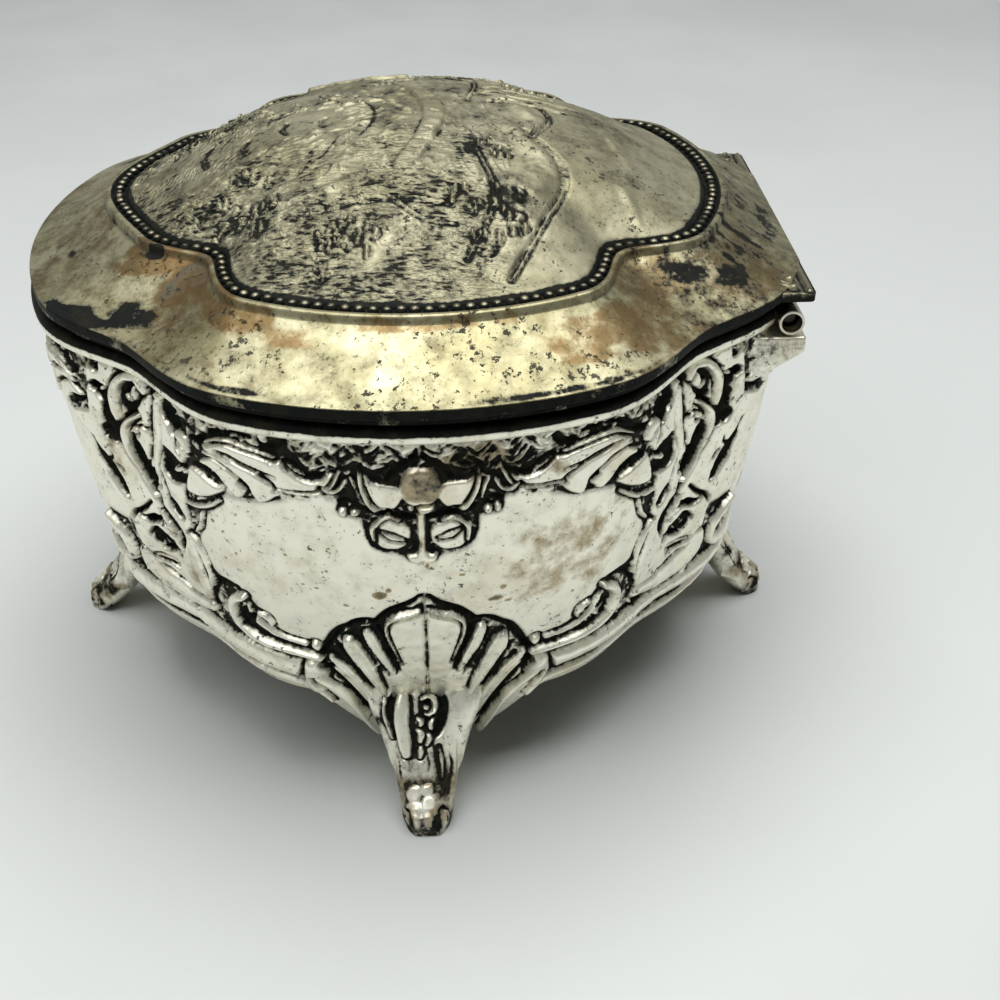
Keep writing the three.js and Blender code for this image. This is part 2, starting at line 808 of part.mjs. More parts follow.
function lidShell() {
  const edge = lidEdgeRadius(lidReach);
  const band = lidEdgeRadius(lidReach - lidBandInset);
  const rest = lidEdgeRadius(lidReach - lidBandInset - lidRestWidth);
  const lip = lipRadius(0);
  const bead = lipRadius(lipWidth);
  const beadBed = lipRadius(lipWidth + beadWidth);
  const lipFoot = lipHeight - lipStep;
  const rings = [];
  const domeRing = (outline, share, drop) => {
    const radiusAt = (angle) => share * outline(angle);
    rings.push(around(radiusAt, (angle) => domeHeight(radiusAt(angle), share) - drop));
  };
  const coveHeight = (share) => THREE.MathUtils.lerp(faceTop, lipFoot, share ** coveCurveShare);
  domeInnerShares.forEach((share) => domeRing(beadBed, share, lidWall));
  rings.push(around(beadBed, level(lipHeight - lidWall)));
  coveInnerShares.forEach(([inShare, riseShare]) => {
    rings.push(around(blendRadius(rest, lip, inShare), level(coveHeight(riseShare) - lidWall)));
  });
  rings.push(around(rest, level(bandTop)));
  rings.push(around(rest, level(lidBase)));
  rings.push(around(band, level(lidBase)));
  rings.push(around(band, level(bandTop)));
  rings.push(around(edge, level(bandTop)));
  rings.push(around(edge, level(faceTop)));
  coveShares.forEach((share) => {
    rings.push(around(blendRadius(edge, lip, share), level(coveHeight(share))));
  });
  rings.push(around(lip, level(lipHeight - lipStep * lipRoundShare)));
  rings.push(around(lipRadius(lipWidth * lipRoundShare), level(lipHeight)));
  rings.push(around(bead, level(lipHeight - beadDepth)));
  rings.push(around(beadBed, level(lipHeight - beadDepth)));
  domeShares.forEach((share) => {
    const radiusAt = (angle) => share * beadBed(angle);
    const heightAt = (angle) => {
      const radius = radiusAt(angle);
      const sink = pictureSink(radius * Math.cos(angle), radius * Math.sin(angle), share);
      return domeHeight(radius, share) - sink;
    };
    rings.push(around(radiusAt, heightAt));
  });
  const top = domeHeight(0, 0);
  const middle = axisPoint(top - pictureSink(0, 0, 0));
  return toSolid(skin(rings, axisPoint(top - lidWall), middle));
}

// Plate behind the dome that covers the hinge
function flangePlate() {
  const half = flangeWidth / 2;
  const outline = new THREE.Shape();
  outline.moveTo(-half, flangeRoot);
  outline.lineTo(half, flangeRoot);
  outline.lineTo(half, flangeEdge - flangeCorner);
  outline.quadraticCurveTo(half, flangeEdge, half - flangeCorner, flangeEdge);
  outline.lineTo(flangeCorner - half, flangeEdge);
  outline.quadraticCurveTo(-half, flangeEdge, -half, flangeEdge - flangeCorner);
  const options = { depth: lidFaceHeight, bevelEnabled: false, curveSegments: cornerSteps };
  const geometry = new THREE.ExtrudeGeometry(outline, options);
  geometry.translate(0, 0, bandTop);
  return toSolid(geometry);
}

function lidCasting() {
  const half = flangeWidth / 2 + seatGap;
  const relief = box(-half, half, rebateY, flangeEdge + overrun, lidBase - overrun, bandTop);
  return lidShell().add(flangePlate()).subtract(relief);
}

// Hinge pieces

function knuckleCentre(index) {
  return (index - (knuckleCount - 1) / 2) * (knuckleLength + seatGap);
}

function cylinderAlongX(radius, length, sides) {
  const geometry = new THREE.CylinderGeometry(radius, radius, length, sides);
  geometry.rotateZ(Math.PI / 2);
  return toSolid(geometry);
}

// Length of tube; one for the lid also has the solder that reaches up to the flange
function knuckle(onLid) {
  const bore = cylinderAlongX(knuckleRadius - knuckleWall, knuckleLength + overrun, knuckleSides);
  let tube = cylinderAlongX(knuckleRadius, knuckleLength, knuckleSides);
  if (onLid) {
    const half = knuckleLength / 2 - seatGap;
    const top = bandTop - seatGap - hingeZ;
    tube = tube.add(box(-half, half, -solderWidth / 2, solderWidth / 2, 0, top));
  }
  return tube.subtract(bore);
}

function hingePin() {
  return cylinderAlongX(pinDiameter / 2, flangeWidth - 2 * pinRecess, pinSides);
}

// Assembly

function piece(name, geometry, material) {
  const mesh = new THREE.Mesh(geometry, material);
  mesh.name = name;
  return mesh;
}

const trinketBox = new THREE.Group();

const base = new THREE.Group();
base.add(piece('box_body', toGeometry(boxBody()), silverPlate));
base.add(piece('floor_plate', wellSlab(floorPlateBase, floorPlateThickness, 0), floorMetal));
const cardBase = floorPlateBase + floorPlateThickness + seatGap;
base.add(piece('floor_card', wellSlab(cardBase, floorCardThickness, 0), cardboard));
base.add(piece('floor_pad', wellSlab(wellFloor, floorPadThickness, floorPadCrown), velvet));
base.add(piece('wall_lining', wallLining(), velvet));
trinketBox.add(base);

const lid = new THREE.Group();
lid.add(piece('lid_shell', toGeometry(lidCasting()), tarnishedPlate));
trinketBox.add(lid);

const hinge = new THREE.Group();
hinge.position.set(0, hingeY, hingeZ);
for (let i = 0; i < knuckleCount; i += 1) {
  const onLid = i % 2 === 1;
  const owner = onLid ? 'lid' : 'body';
  const number = Math.floor(i / 2) + 1;
  const tube = piece(`${owner}_knuckle_${number}`, toGeometry(knuckle(onLid)), hingeBrass);
  tube.position.x = knuckleCentre(i);
  hinge.add(tube);
}
hinge.add(piece('hinge_pin', toGeometry(hingePin()), pinSteel));
trinketBox.add(hinge);

export default trinketBox;
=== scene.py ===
"""Silver-plated trinket box: a four-lobed cast casket on cabriole feet with a domed, hinged lid.

The tables below are in millimetres and degrees; every mesh is made in metres at its own place.
"""

import json
import logging
import math
from dataclasses import dataclass, field
from enum import Enum
from typing import Callable, Iterable, Sequence

import bpy
import numpy as np
from mathutils import Matrix, Vector

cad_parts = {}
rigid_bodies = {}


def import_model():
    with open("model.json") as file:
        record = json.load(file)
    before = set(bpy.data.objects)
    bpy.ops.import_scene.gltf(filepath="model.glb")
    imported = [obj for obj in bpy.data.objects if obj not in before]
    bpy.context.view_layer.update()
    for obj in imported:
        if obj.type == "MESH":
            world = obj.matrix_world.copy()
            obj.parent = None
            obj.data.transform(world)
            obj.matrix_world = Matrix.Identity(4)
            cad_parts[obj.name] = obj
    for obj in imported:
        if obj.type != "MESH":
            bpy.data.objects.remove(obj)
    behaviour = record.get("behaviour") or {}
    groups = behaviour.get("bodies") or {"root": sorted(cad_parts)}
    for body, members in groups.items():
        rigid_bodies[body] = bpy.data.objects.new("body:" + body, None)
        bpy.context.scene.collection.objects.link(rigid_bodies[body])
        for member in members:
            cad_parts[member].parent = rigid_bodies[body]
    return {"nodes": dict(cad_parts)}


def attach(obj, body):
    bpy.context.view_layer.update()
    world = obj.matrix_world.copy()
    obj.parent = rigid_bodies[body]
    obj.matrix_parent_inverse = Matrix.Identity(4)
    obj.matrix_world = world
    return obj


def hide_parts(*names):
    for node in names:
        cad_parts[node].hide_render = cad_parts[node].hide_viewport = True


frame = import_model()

log = logging.getLogger("trinket_box")

MM = 0.001
Array = np.ndarray
Pair = tuple[float, float]
Points = tuple[Pair, ...]


class Body(Enum):
    """Bodies of the box that pieces ride on."""

    BOX = "box"
    LID = "lid"


class Slot(Enum):
    """Material slots of the record."""

    SILVER = "silver_plate"
    TARNISHED = "tarnished_plate"
    VELVET = "velvet"
    TUBE = "hinge_tube"
    PIN = "pin_steel"


class Form(Enum):
    """Ways that a stroke of the relief rises from or sinks into its ground."""

    ROUND = "round"
    PETAL = "petal"
    SCOOP = "scoop"
    PLATE = "plate"
    GROOVE = "groove"
    SOFT = "soft"


class Flank(Enum):
    """Side of a valley that a lobe has at both of its ends."""

    EYE = "eye"
    LEAF = "leaf"


# Small maths


def smooth(value: Array | float, low: float, high: float) -> Array | float:
    """Smooth step from 0 at low to 1 at high."""
    share = np.clip((np.asarray(value, float) - low) / (high - low), 0, 1)
    return share * share * (3 - 2 * share)


def blur(field_in: Array, sigma: float) -> Array:
    """Gaussian blur of a grid.

    Args:
        field_in: Rows and columns.
        sigma: Width of the blur, in cells.

    Returns:
        The blurred grid, with its edges repeated outwards.
    """
    reach = max(1, int(3 * sigma + 0.5))
    kernel = np.exp(-0.5 * (np.arange(-reach, reach + 1) / sigma) ** 2)
    kernel /= kernel.sum()
    out = field_in
    for axis in (0, 1):
        padded = np.pad(out, [(reach, reach) if a == axis else (0, 0) for a in (0, 1)], mode="edge")
        total = np.zeros_like(out)
        for i, weight in enumerate(kernel):
            window = [slice(None), slice(None)]
            window[axis] = slice(i, i + out.shape[axis])
            total += weight * padded[tuple(window)]
        out = total
    return out


def speckle(shape: tuple[int, int], sigma: float, seed: int) -> Array:
    """Smooth random grid between about -1 and 1, with blotches of sigma cells."""
    step = max(1, int(sigma))
    rng = np.random.default_rng(seed)
    small = rng.standard_normal((shape[0] // step + 6, shape[1] // step + 6))
    small = blur(small, max(0.6, sigma / step))
    rows = np.linspace(1, small.shape[0] - 3, shape[0])
    cols = np.linspace(1, small.shape[1] - 3, shape[1])
    out = bilinear(small, rows[:, None] + 0 * cols, cols + 0 * rows[:, None])
    return out / (2 * out.std())


def bilinear(grid: Array, row: Array, col: Array) -> Array:
    """Values of a grid at fractional rows and columns."""
    row = np.clip(row, 0, grid.shape[0] - 1.001)
    col = np.clip(col, 0, grid.shape[1] - 1.001)
    r, c = row.astype(int), col.astype(int)
    fr, fc = row - r, col - c
    low = grid[r, c] * (1 - fc) + grid[r, c + 1] * fc
    high = grid[r + 1, c] * (1 - fc) + grid[r + 1, c + 1] * fc
    return low * (1 - fr) + high * fr


def smooth_path(points: Array, spacing: float) -> tuple[Array, Array]:
    """Catmull-Rom path through points.

    Args:
        points: Corner points, one row each.
        spacing: About how far apart the samples lie.

    Returns:
        The samples, and the place of each along the points from 0 to 1.
    """
    if len(points) < 3:
        count = max(2, int(np.linalg.norm(points[-1] - points[0]) / spacing) + 1)
        share = np.linspace(0, 1, count)
        return points[0] + share[:, None] * (points[-1] - points[0]), share
    padded = np.vstack([2 * points[0] - points[1], points, 2 * points[-1] - points[-2]])
    samples, shares = [], []
    for i in range(1, len(padded) - 2):
        a, b, c, d = padded[i - 1 : i + 3]
        count = max(2, int(np.linalg.norm(c - b) / spacing) + 1)
        t = np.linspace(0, 1, count, endpoint=False)[:, None]
        samples.append(0.5 * (2 * b + (c - a) * t + (2 * a - 5 * b + 4 * c - d) * t**2
                              + (3 * b - a - 3 * c + d) * t**3))
        shares.append((i - 1 + t[:, 0]) / (len(points) - 1))
    samples.append(points[-1:])
    shares.append(np.array([1.0]))
    return np.vstack(samples), np.concatenate(shares)


# Relief


@dataclass(frozen=True)
class Stroke:
    """One tooled line of the relief.

    Attributes:
        points: Where it runs.
        widths: Half widths along it, in millimetres.
        height: How far it stands above the plain surface, or below it for a groove.
        form: Shape of its section.
        cut: Width of the dark line cut round it.
    """

    points: Points
    widths: tuple[float, ...]
    height: float
    form: Form = Form.ROUND
    cut: float = 0.28


class Relief:
    """Height field in millimetres over a flat rectangle, with a layer of dirt that can also hold
    painted shade.
    """

    def __init__(self, u_range: Pair, v_range: Pair, pitch: float, ground: float = 0.0) -> None:
        """Starts a plain sheet.

        Args:
            u_range: Lowest and highest u.
            v_range: Lowest and highest v.
            pitch: Distance between the cells.
            ground: Height of the plain sheet.
        """
        self.pitch = pitch
        self.u0, self.v0 = u_range[0], v_range[0]
        self.u = np.arange(u_range[0], u_range[1] + pitch, pitch)
        self.v = np.arange(v_range[0], v_range[1] + pitch, pitch)
        self.height = np.full((len(self.v), len(self.u)), float(ground))
        self.dirt_and_shade = np.zeros_like(self.height)
        self.tint = np.zeros_like(self.height)

    def window(self, low: Array, high: Array) -> tuple[slice, slice] | None:
        """Rows and columns between two corners, or None where the sheet has none."""
        c0 = max(0, int((low[0] - self.u0) / self.pitch))
        c1 = min(len(self.u), int((high[0] - self.u0) / self.pitch) + 2)
        r0 = max(0, int((low[1] - self.v0) / self.pitch))
        r1 = min(len(self.v), int((high[1] - self.v0) / self.pitch) + 2)
        return (slice(r0, r1), slice(c0, c1)) if c1 > c0 and r1 > r0 else None

    def nearest(self, points: Array, widths: Sequence[float], margin: float
                ) -> tuple[tuple[slice, slice], Array, Array, Array, Array] | None:
        """Distance of the cells near a line to it, as a share of the line's half width there.

        Args:
            points: Corner points of the line.
            widths: Half widths along it.
            margin: How far beyond the line's edge the cells are wanted.

        Returns:
            The window, that share, the half width, the distance in millimetres and the share
            with its side as a sign, or None.
        """
        path, share = smooth_path(points, max(self.pitch, 0.6 * min(widths)))
        wide = np.interp(share, np.linspace(0, 1, len(widths)), widths)
        reach = max(widths) + margin + self.pitch
        span = self.window(path.min(0) - reach, path.max(0) + reach)
        if span is None:
            return None
        u, v = self.u[span[1]][None, :], self.v[span[0]][:, None]
        best = np.full((v.shape[0], u.shape[1]), 1e9)
        width = np.full_like(best, wide[0])
        far = np.full_like(best, 1e9)
        sided = np.zeros_like(best)
        ways = np.gradient(path, axis=0)
        ways /= np.maximum(np.linalg.norm(ways, axis=1, keepdims=True), 1e-9)
        for (x, y), w, (wx, wy) in zip(path, wide, ways):
            c0, c1 = np.searchsorted(u[0], (x - w - margin, x + w + margin))
            r0, r1 = np.searchsorted(v[:, 0], (y - w - margin, y + w + margin))
            if c1 <= c0 or r1 <= r0:
                continue
            apart = np.sqrt((u[:, c0:c1] - x) ** 2 + (v[r0:r1] - y) ** 2)
            ratio = apart / w
            part = (slice(r0, r1), slice(c0, c1))
            closer = ratio < best[part]
            best[part] = np.where(closer, ratio, best[part])
            width[part] = np.where(closer, w, width[part])
            far[part] = np.where(closer, apart, far[part])
            across = ((u[:, c0:c1] - x) * wy - (v[r0:r1] - y) * wx) / w
            sided[part] = np.where(closer, across, sided[part])
        return span, best, width, far, sided

    def draw(self, stroke: Stroke, place: Callable[[Array], Array] | None = None) -> None:
        """Draws one stroke.

        Args:
            stroke: What to draw.
            place: Moves the stroke's points onto the sheet.
        """
        if stroke.form is Form.PLATE:
            mask = self.region(stroke.points, place, stroke.widths[0])
            level = stroke.height * np.clip(1.5 * mask - 0.25, 0, 1) ** 0.6
            self.height = np.where(mask > 0.17, np.maximum(self.height, level), self.height)
            self.dirt_and_shade *= 1 - 0.92 * smooth(mask, 0.2, 0.5)
            return
        points = np.array(stroke.points, float)
        if place is not None:
            points = place(points)
        found = self.nearest(points, stroke.widths, stroke.cut + 0.1)
        if found is None:
            return
        span, ratio, width, far, side = found
        height = self.height[span]
        inside = np.clip(1 - ratio**2, 0, None)
        if stroke.form is Form.GROOVE:
            cut = np.minimum(height, -stroke.height * inside**0.5)
            self.height[span] = np.where(ratio < 1, cut, height)
            self.dirt_and_shade[span] = np.maximum(self.dirt_and_shade[span], smooth(ratio, 1.12, 0.94))
            return
        if stroke.form is Form.SOFT:
            self.height[span] = height + stroke.height * inside**2
            return
        if stroke.cut > 0:
            beyond = np.clip((far - width) / stroke.cut, 0, 1)
            depth = -0.5 * np.sin(np.pi * np.clip(beyond, 0, 1)) ** 0.5
            cut = (ratio >= 1) & (beyond < 1)
            self.height[span] = height = np.where(cut, np.minimum(height, depth), height)
            self.dirt_and_shade[span] = np.where(cut, np.maximum(self.dirt_and_shade[span], 0.85), self.dirt_and_shade[span])
        if stroke.form is Form.PETAL:
            rim = np.exp(-(((ratio - 0.8) / 0.16) ** 2))
            bump = stroke.height * (0.42 * inside**0.25 + 0.58 * rim)
        elif stroke.form is Form.SCOOP:
            rim = np.exp(-(((ratio - 0.82) / 0.14) ** 2))
            bump = stroke.height * (0.38 + 0.16 * ratio**2 + 0.46 * rim) * np.clip(
                (1 - ratio) / 0.12, 0, 1) ** 0.5
        else:
            lean = 0.42 * math.sin(37 * float(points.sum()))
            bump = stroke.height * np.clip(1 - ratio**2.6, 0, None) ** 0.55
            bump = bump * (1 + lean * side) / (1 + 0.5 * abs(lean))
        self.height[span] = np.where(ratio < 1, np.maximum(bump, np.minimum(height, bump)), height)
        self.dirt_and_shade[span] = np.where(ratio < 0.97, self.dirt_and_shade[span] * 0.12, self.dirt_and_shade[span])

    def region(self, outline: Points, place: Callable[[Array], Array] | None = None,
               soft: float = 0.4) -> Array:
        """Mask of what lies inside an outline, from 0 to 1 over a soft edge."""
        points = np.array(outline, float)
        if place is not None:
            points = place(points)
        path, _ = smooth_path(np.vstack([points, points[:1]]), 0.4)
        margin = 3 * soft + 2 * self.pitch
        mask = np.zeros_like(self.height)
        span = self.window(path.min(0) - margin, path.max(0) + margin)
        if span is None:
            return mask
        u, v = np.meshgrid(self.u[span[1]], self.v[span[0]])
        inside = np.zeros(u.shape, bool)
        for (x0, y0), (x1, y1) in zip(path, np.roll(path, -1, 0)):
            if y0 == y1:
                continue
            crosses = (y0 > v) != (y1 > v)
            inside ^= crosses & (u < (x1 - x0) * (v - y0) / (y1 - y0) + x0)
        mask[span] = np.clip(blur(inside.astype(float), soft / self.pitch), 0, 1)
        return mask

    def flecks(self, rows: Iterable[tuple[float, float, float, float]], tint: float, seed: int
               ) -> None:
        """Small ragged spots where the plate has stained.

        Args:
            rows: Place and half size of each spot.
            tint: How deep the stain is.
            seed: Start of the random numbers.
        """
        rough = speckle(self.height.shape, 2.2, seed)
        for x, y, wide, high in rows:
            reach = 1.8 * max(wide, high)
            span = self.window(np.array([x - reach, y - reach]), np.array([x + reach, y + reach]))
            if span is None:
                continue
            u, v = np.meshgrid(self.u[span[1]] - x, self.v[span[0]] - y)
            mask = smooth(np.hypot(u / wide, v / high) + 0.45 * rough[span], 1.1, 0.75)
            self.tint[span] = np.maximum(self.tint[span], tint * mask)
            self.height[span] -= 0.05 * mask

    def settle(self, mask: Array, level: float, dirt_and_shade: float) -> None:
        """Brings the masked ground to a level and a share of dirt."""
        self.height += mask * (level - self.height)
        self.dirt_and_shade += mask * (dirt_and_shade - self.dirt_and_shade)

    def dashes(self, mask: Array, count: int, length: Pair, width: float, height: float,
               lean: Callable[[float, float, float], float], seed: int) -> None:
        """Short tooled strokes scattered over a mask.

        Args:
            mask: Where they may start.
            count: How many are tried.
            length: Shortest and longest.
            width: Half width.
            height: How far they stand.
            lean: Angle of a stroke from its place and a random number, in radians.
            seed: Start of the random numbers.
        """
        rng = np.random.default_rng(seed)
        rows, cols = np.nonzero(mask > 0.5)
        if len(rows) == 0:
            return
        for i in rng.integers(0, len(rows), count):
            x, y = self.u[cols[i]], self.v[rows[i]]
            turn = lean(x, y, float(rng.random()))
            size = rng.uniform(*length) / 2
            bend = rng.uniform(-0.25, 0.25) * size
            across = np.array([-math.sin(turn), math.cos(turn)])
            along = np.array([math.cos(turn), math.sin(turn)])
            middle = np.array([x, y])
            points = np.array([middle - along * size, middle + across * bend,
                               middle + along * size])
            high = height * rng.uniform(0.6, 1.2)
            w = width * rng.uniform(0.75, 1.3)
            found = self.nearest(points, (w * 0.5, w, w * 0.5), 0.1)
            if found is None:
                continue
            span, ratio = found[:2]
            bump = high * np.clip(1 - ratio**2, 0, None) ** 0.5
            ground = self.height[span]
            self.height[span] = np.where(ratio < 1, np.maximum(ground, ground * 0.4 + bump), ground)
            self.dirt_and_shade[span] = np.where(ratio < 0.8, self.dirt_and_shade[span] * 0.35, self.dirt_and_shade[span])

    def finish(self, softness: float = 0.07) -> None:
        """Softens the tooling a little and lets dirt gather in the hollows."""
        self.height = blur(self.height, softness / self.pitch)
        near = blur(self.height, 0.22 / self.pitch) - self.height
        wide = blur(self.height, 0.8 / self.pitch) - self.height
        hollow = smooth(near, 0.03, 0.14) * 0.7 + smooth(wide, 0.06, 0.32) * 0.6
        proud = smooth(-wide, 0.05, 0.25)
        rubbed = 0.6 * proud * smooth(self.dirt_and_shade, 0.97, 0.87)
        self.dirt_and_shade = blur(np.clip(np.maximum(self.dirt_and_shade * (1 - rubbed), hollow), 0, 1),
                         0.09 / self.pitch)

    def at(self, u: Array, v: Array) -> tuple[Array, Array, Array]:
        """Height, dirt and stain at any places."""
        row, col = (v - self.v0) / self.pitch, (u - self.u0) / self.pitch
        return tuple(bilinear(layer, row, col) for layer in (self.height, self.dirt_and_shade, self.tint))


# Meshes


def make_mesh(name: str, points: Array, faces: Iterable[Array],
              values: dict[str, Array] | None = None) -> bpy.types.Object:
    """Mesh object from points in millimetres.

    Args:
        name: Name of the piece.
        points: One row each.
        faces: Arrays of corner indices; the rows of one array have one length.
        values: Shares for each point, kept as attributes.

    Returns:
        The object, at the origin and shaded smooth.
    """
    mesh = bpy.data.meshes.new(name)
    faces = [np.asarray(f, np.int32) for f in faces if len(f)]
    corners = np.concatenate([f.ravel() for f in faces])
    sizes = np.concatenate([np.full(len(f), f.shape[1], np.int32) for f in faces])
    starts = np.concatenate([[0], np.cumsum(sizes)[:-1]]).astype(np.int32)
    mesh.vertices.add(len(points))
    mesh.vertices.foreach_set("co", (np.asarray(points) * MM).astype(np.float32).ravel())
    mesh.loops.add(len(corners))
    mesh.loops.foreach_set("vertex_index", corners)
    mesh.polygons.add(len(sizes))
    mesh.polygons.foreach_set("loop_start", starts)
    mesh.polygons.foreach_set("use_smooth", np.ones(len(sizes), bool))
    mesh.update(calc_edges=True)
    mesh.validate()
    for key, data in (values or {}).items():
        layer = mesh.attributes.new(key, "FLOAT", "POINT")
        layer.data.foreach_set("value", np.asarray(data, np.float32).ravel())
    piece = bpy.data.objects.new(name, mesh)
    bpy.context.scene.collection.objects.link(piece)
    return piece


def loft_faces(rows: int, cols: int, closed_rows: bool, closed_cols: bool) -> Array:
    """Quads between the points of a grid of rows and columns."""
    r = np.arange(rows if closed_rows else rows - 1)[:, None]
    c = np.arange(cols if closed_cols else cols - 1)[None, :]
    r2, c2 = (r + 1) % rows, (c + 1) % cols
    a, b = r * cols + c, r * cols + c2
    d, e = r2 * cols + c2, r2 * cols + c
    return np.stack([a, b, d, e], -1).reshape(-1, 4)


def cylinder_points(angle: Array, radius: Array, height: Array) -> Array:
    """Points from angles, radii and heights."""
    return np.stack([radius * np.cos(angle), radius * np.sin(angle), height + 0 * angle], -1)


def settle_piece(piece: bpy.types.Object, body: Body, slot: Slot, material: bpy.types.Material,
                 *nodes: str) -> bpy.types.Object:
    """Rides a piece on its body, with its finish and the nodes that it stands for."""
    piece.data.materials.clear()
    piece.data.materials.append(material)
    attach(piece, body.value)
    if nodes:
        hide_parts(*nodes)
    log.info("piece %s on %s, %d faces", piece.name, body.value, len(piece.data.polygons))
    return piece


def deselect() -> None:
    """Leaves nothing selected, so that an operator acts on the new piece alone."""
    for other in bpy.context.scene.objects:
        other.select_set(False)


def bake_place(piece: bpy.types.Object) -> bpy.types.Object:
    """Applies a piece's modifiers and puts its place into its mesh."""
    deselect()
    bpy.context.view_layer.objects.active = piece
    piece.select_set(True)
    for modifier in list(piece.modifiers):
        bpy.ops.object.modifier_apply(modifier=modifier.name)
    bpy.ops.object.transform_apply(location=True, rotation=True, scale=True)
    deselect()
    return piece

def soften(piece: bpy.types.Object, width: float, segments: int, limit: float | None = None
           ) -> None:
    """Bevels the edges sharper than a limit in degrees and applies all modifiers."""
    bevel = piece.modifiers.new("soften", "BEVEL")
    bevel.width, bevel.segments, bevel.limit_method = width * MM, segments, "ANGLE"
    if limit is not None:
        bevel.angle_limit = math.radians(limit)
    bake_place(piece)

def shade_by_angle(piece: bpy.types.Object, degrees: float) -> None:
    """Shades a piece smooth but for the edges sharper than an angle."""
    bpy.context.view_layer.objects.active = piece
    piece.select_set(True)
    bpy.ops.object.shade_smooth_by_angle(angle=math.radians(degrees))
    deselect()

def soil(piece: bpy.types.Object, amount: float) -> None:
    """Gives a piece an even share of dirt."""
    layer = piece.data.attributes.new("dirt_and_shade", "FLOAT", "POINT")
    layer.data.foreach_set("value", np.full(len(piece.data.vertices), amount, np.float32))

def capped_faces(rows: int, cols: int) -> list[Array]:
    """Faces of a row of rings whose first and last ring are closed."""
    ring = np.arange(cols)[None, :]
    return [loft_faces(rows, cols, False, True), ring[:, ::-1], ring + (rows - 1) * cols]

def grid_border(rows: int, cols: int) -> Array:
    """Indices of a grid's outer points, counterclockwise."""
    grid = np.arange(rows * cols).reshape(rows, cols)
    return np.concatenate([grid[0, :-1], grid[:-1, -1], grid[-1, :0:-1], grid[:0:-1, 0]])

def closed_round(grid: Array, columns: int) -> Array:
    """First columns of a grid, with their start blended into what lies past their end."""
    over = grid.shape[1] - columns
    blend = np.linspace(0, 1, over)
    grid[:, :over] = grid[:, :over] * blend + grid[:, columns:] * (1 - blend)
    return grid[:, :columns]


# Sizes

VALLEY_SOFTNESS = 0.9

def notch(angle: Array, depth: Array | float, spread: float) -> Array:
    """How far an outline draws in at an angle for the valley nearest to it."""
    away = np.abs((np.degrees(angle) % 90) - 45) / spread
    return depth * np.cos(np.pi / 2 * np.clip(away, 0, 1) ** VALLEY_SOFTNESS) ** 2

@dataclass(frozen=True)
class CastingSizes:
    """Sizes of the body casting, in millimetres."""

    rim_height: float = 48.8
    rim_reach: float = 41.75
    rim_bead: float = 1.7
    shelf_lip: float = 1.7
    neck_reach: float = 40.8
    apron_reach: float = 31.6
    apron_height: float = 5.0
    skirt_height: float = 11.8
    rim_valley: float = 3.1
    apron_valley: float = 1.6
    valley_spread: float = 22.0
    curve: float = 0.83
    apron_inner: float = 9.0
    apron_outer: float = 22.0
    wall: float = 2.0
    ledge_height: float = 13.7
    ledge: float = 1.4
    rebate_y: float = 36.475
    shelf_z: float = 46.175
    flange_half: float = 20.3
    bracket_end: float = 39.8

    def share(self, height: Array) -> Array:
        """Share of the wall's way up at a height."""
        top = self.rim_height - self.rim_bead
        return np.clip((height - self.apron_height) / (top - self.apron_height), 0, 1)

    def wall_radius(self, angle: Array, height: Array) -> Array:
        """Outside of the plain wall."""
        share = self.share(height)
        reach = self.apron_reach + (self.neck_reach - self.apron_reach) * np.sin(
            np.pi / 2 * share**self.curve)
        depth = self.apron_valley + (self.rim_valley - self.apron_valley) * share
        return reach - notch(angle, depth, self.valley_spread)

    def rim_radius(self, angle: Array, reach: Array | float) -> Array:
        """Outline of the rim at a reach."""
        return reach - notch(angle, self.rim_valley, self.valley_spread)

    def edge(self, angle: Array) -> Array:
        """Height of the apron's lower edge."""
        middle = 45 - np.abs((np.degrees(angle) % 90) - 45)
        rise = smooth(middle, self.apron_inner, self.apron_outer)
        return self.apron_height + (self.skirt_height - self.apron_height) * rise

    def well_radius(self, angle: Array, height: Array) -> Array:
        """Inside of the wall, which keeps its thickness in front of the hinge's ledge."""
        free = self.wall_radius(angle, height) - self.wall
        back = np.sin(angle)
        below = np.clip(self.shelf_z - self.wall - height, 0, None)
        rebate = self.rebate_y - self.wall + below * 0.8
        limit = np.where(back > 0.05, rebate / np.maximum(back, 0.05), 1e3)
        return np.minimum(free, limit)


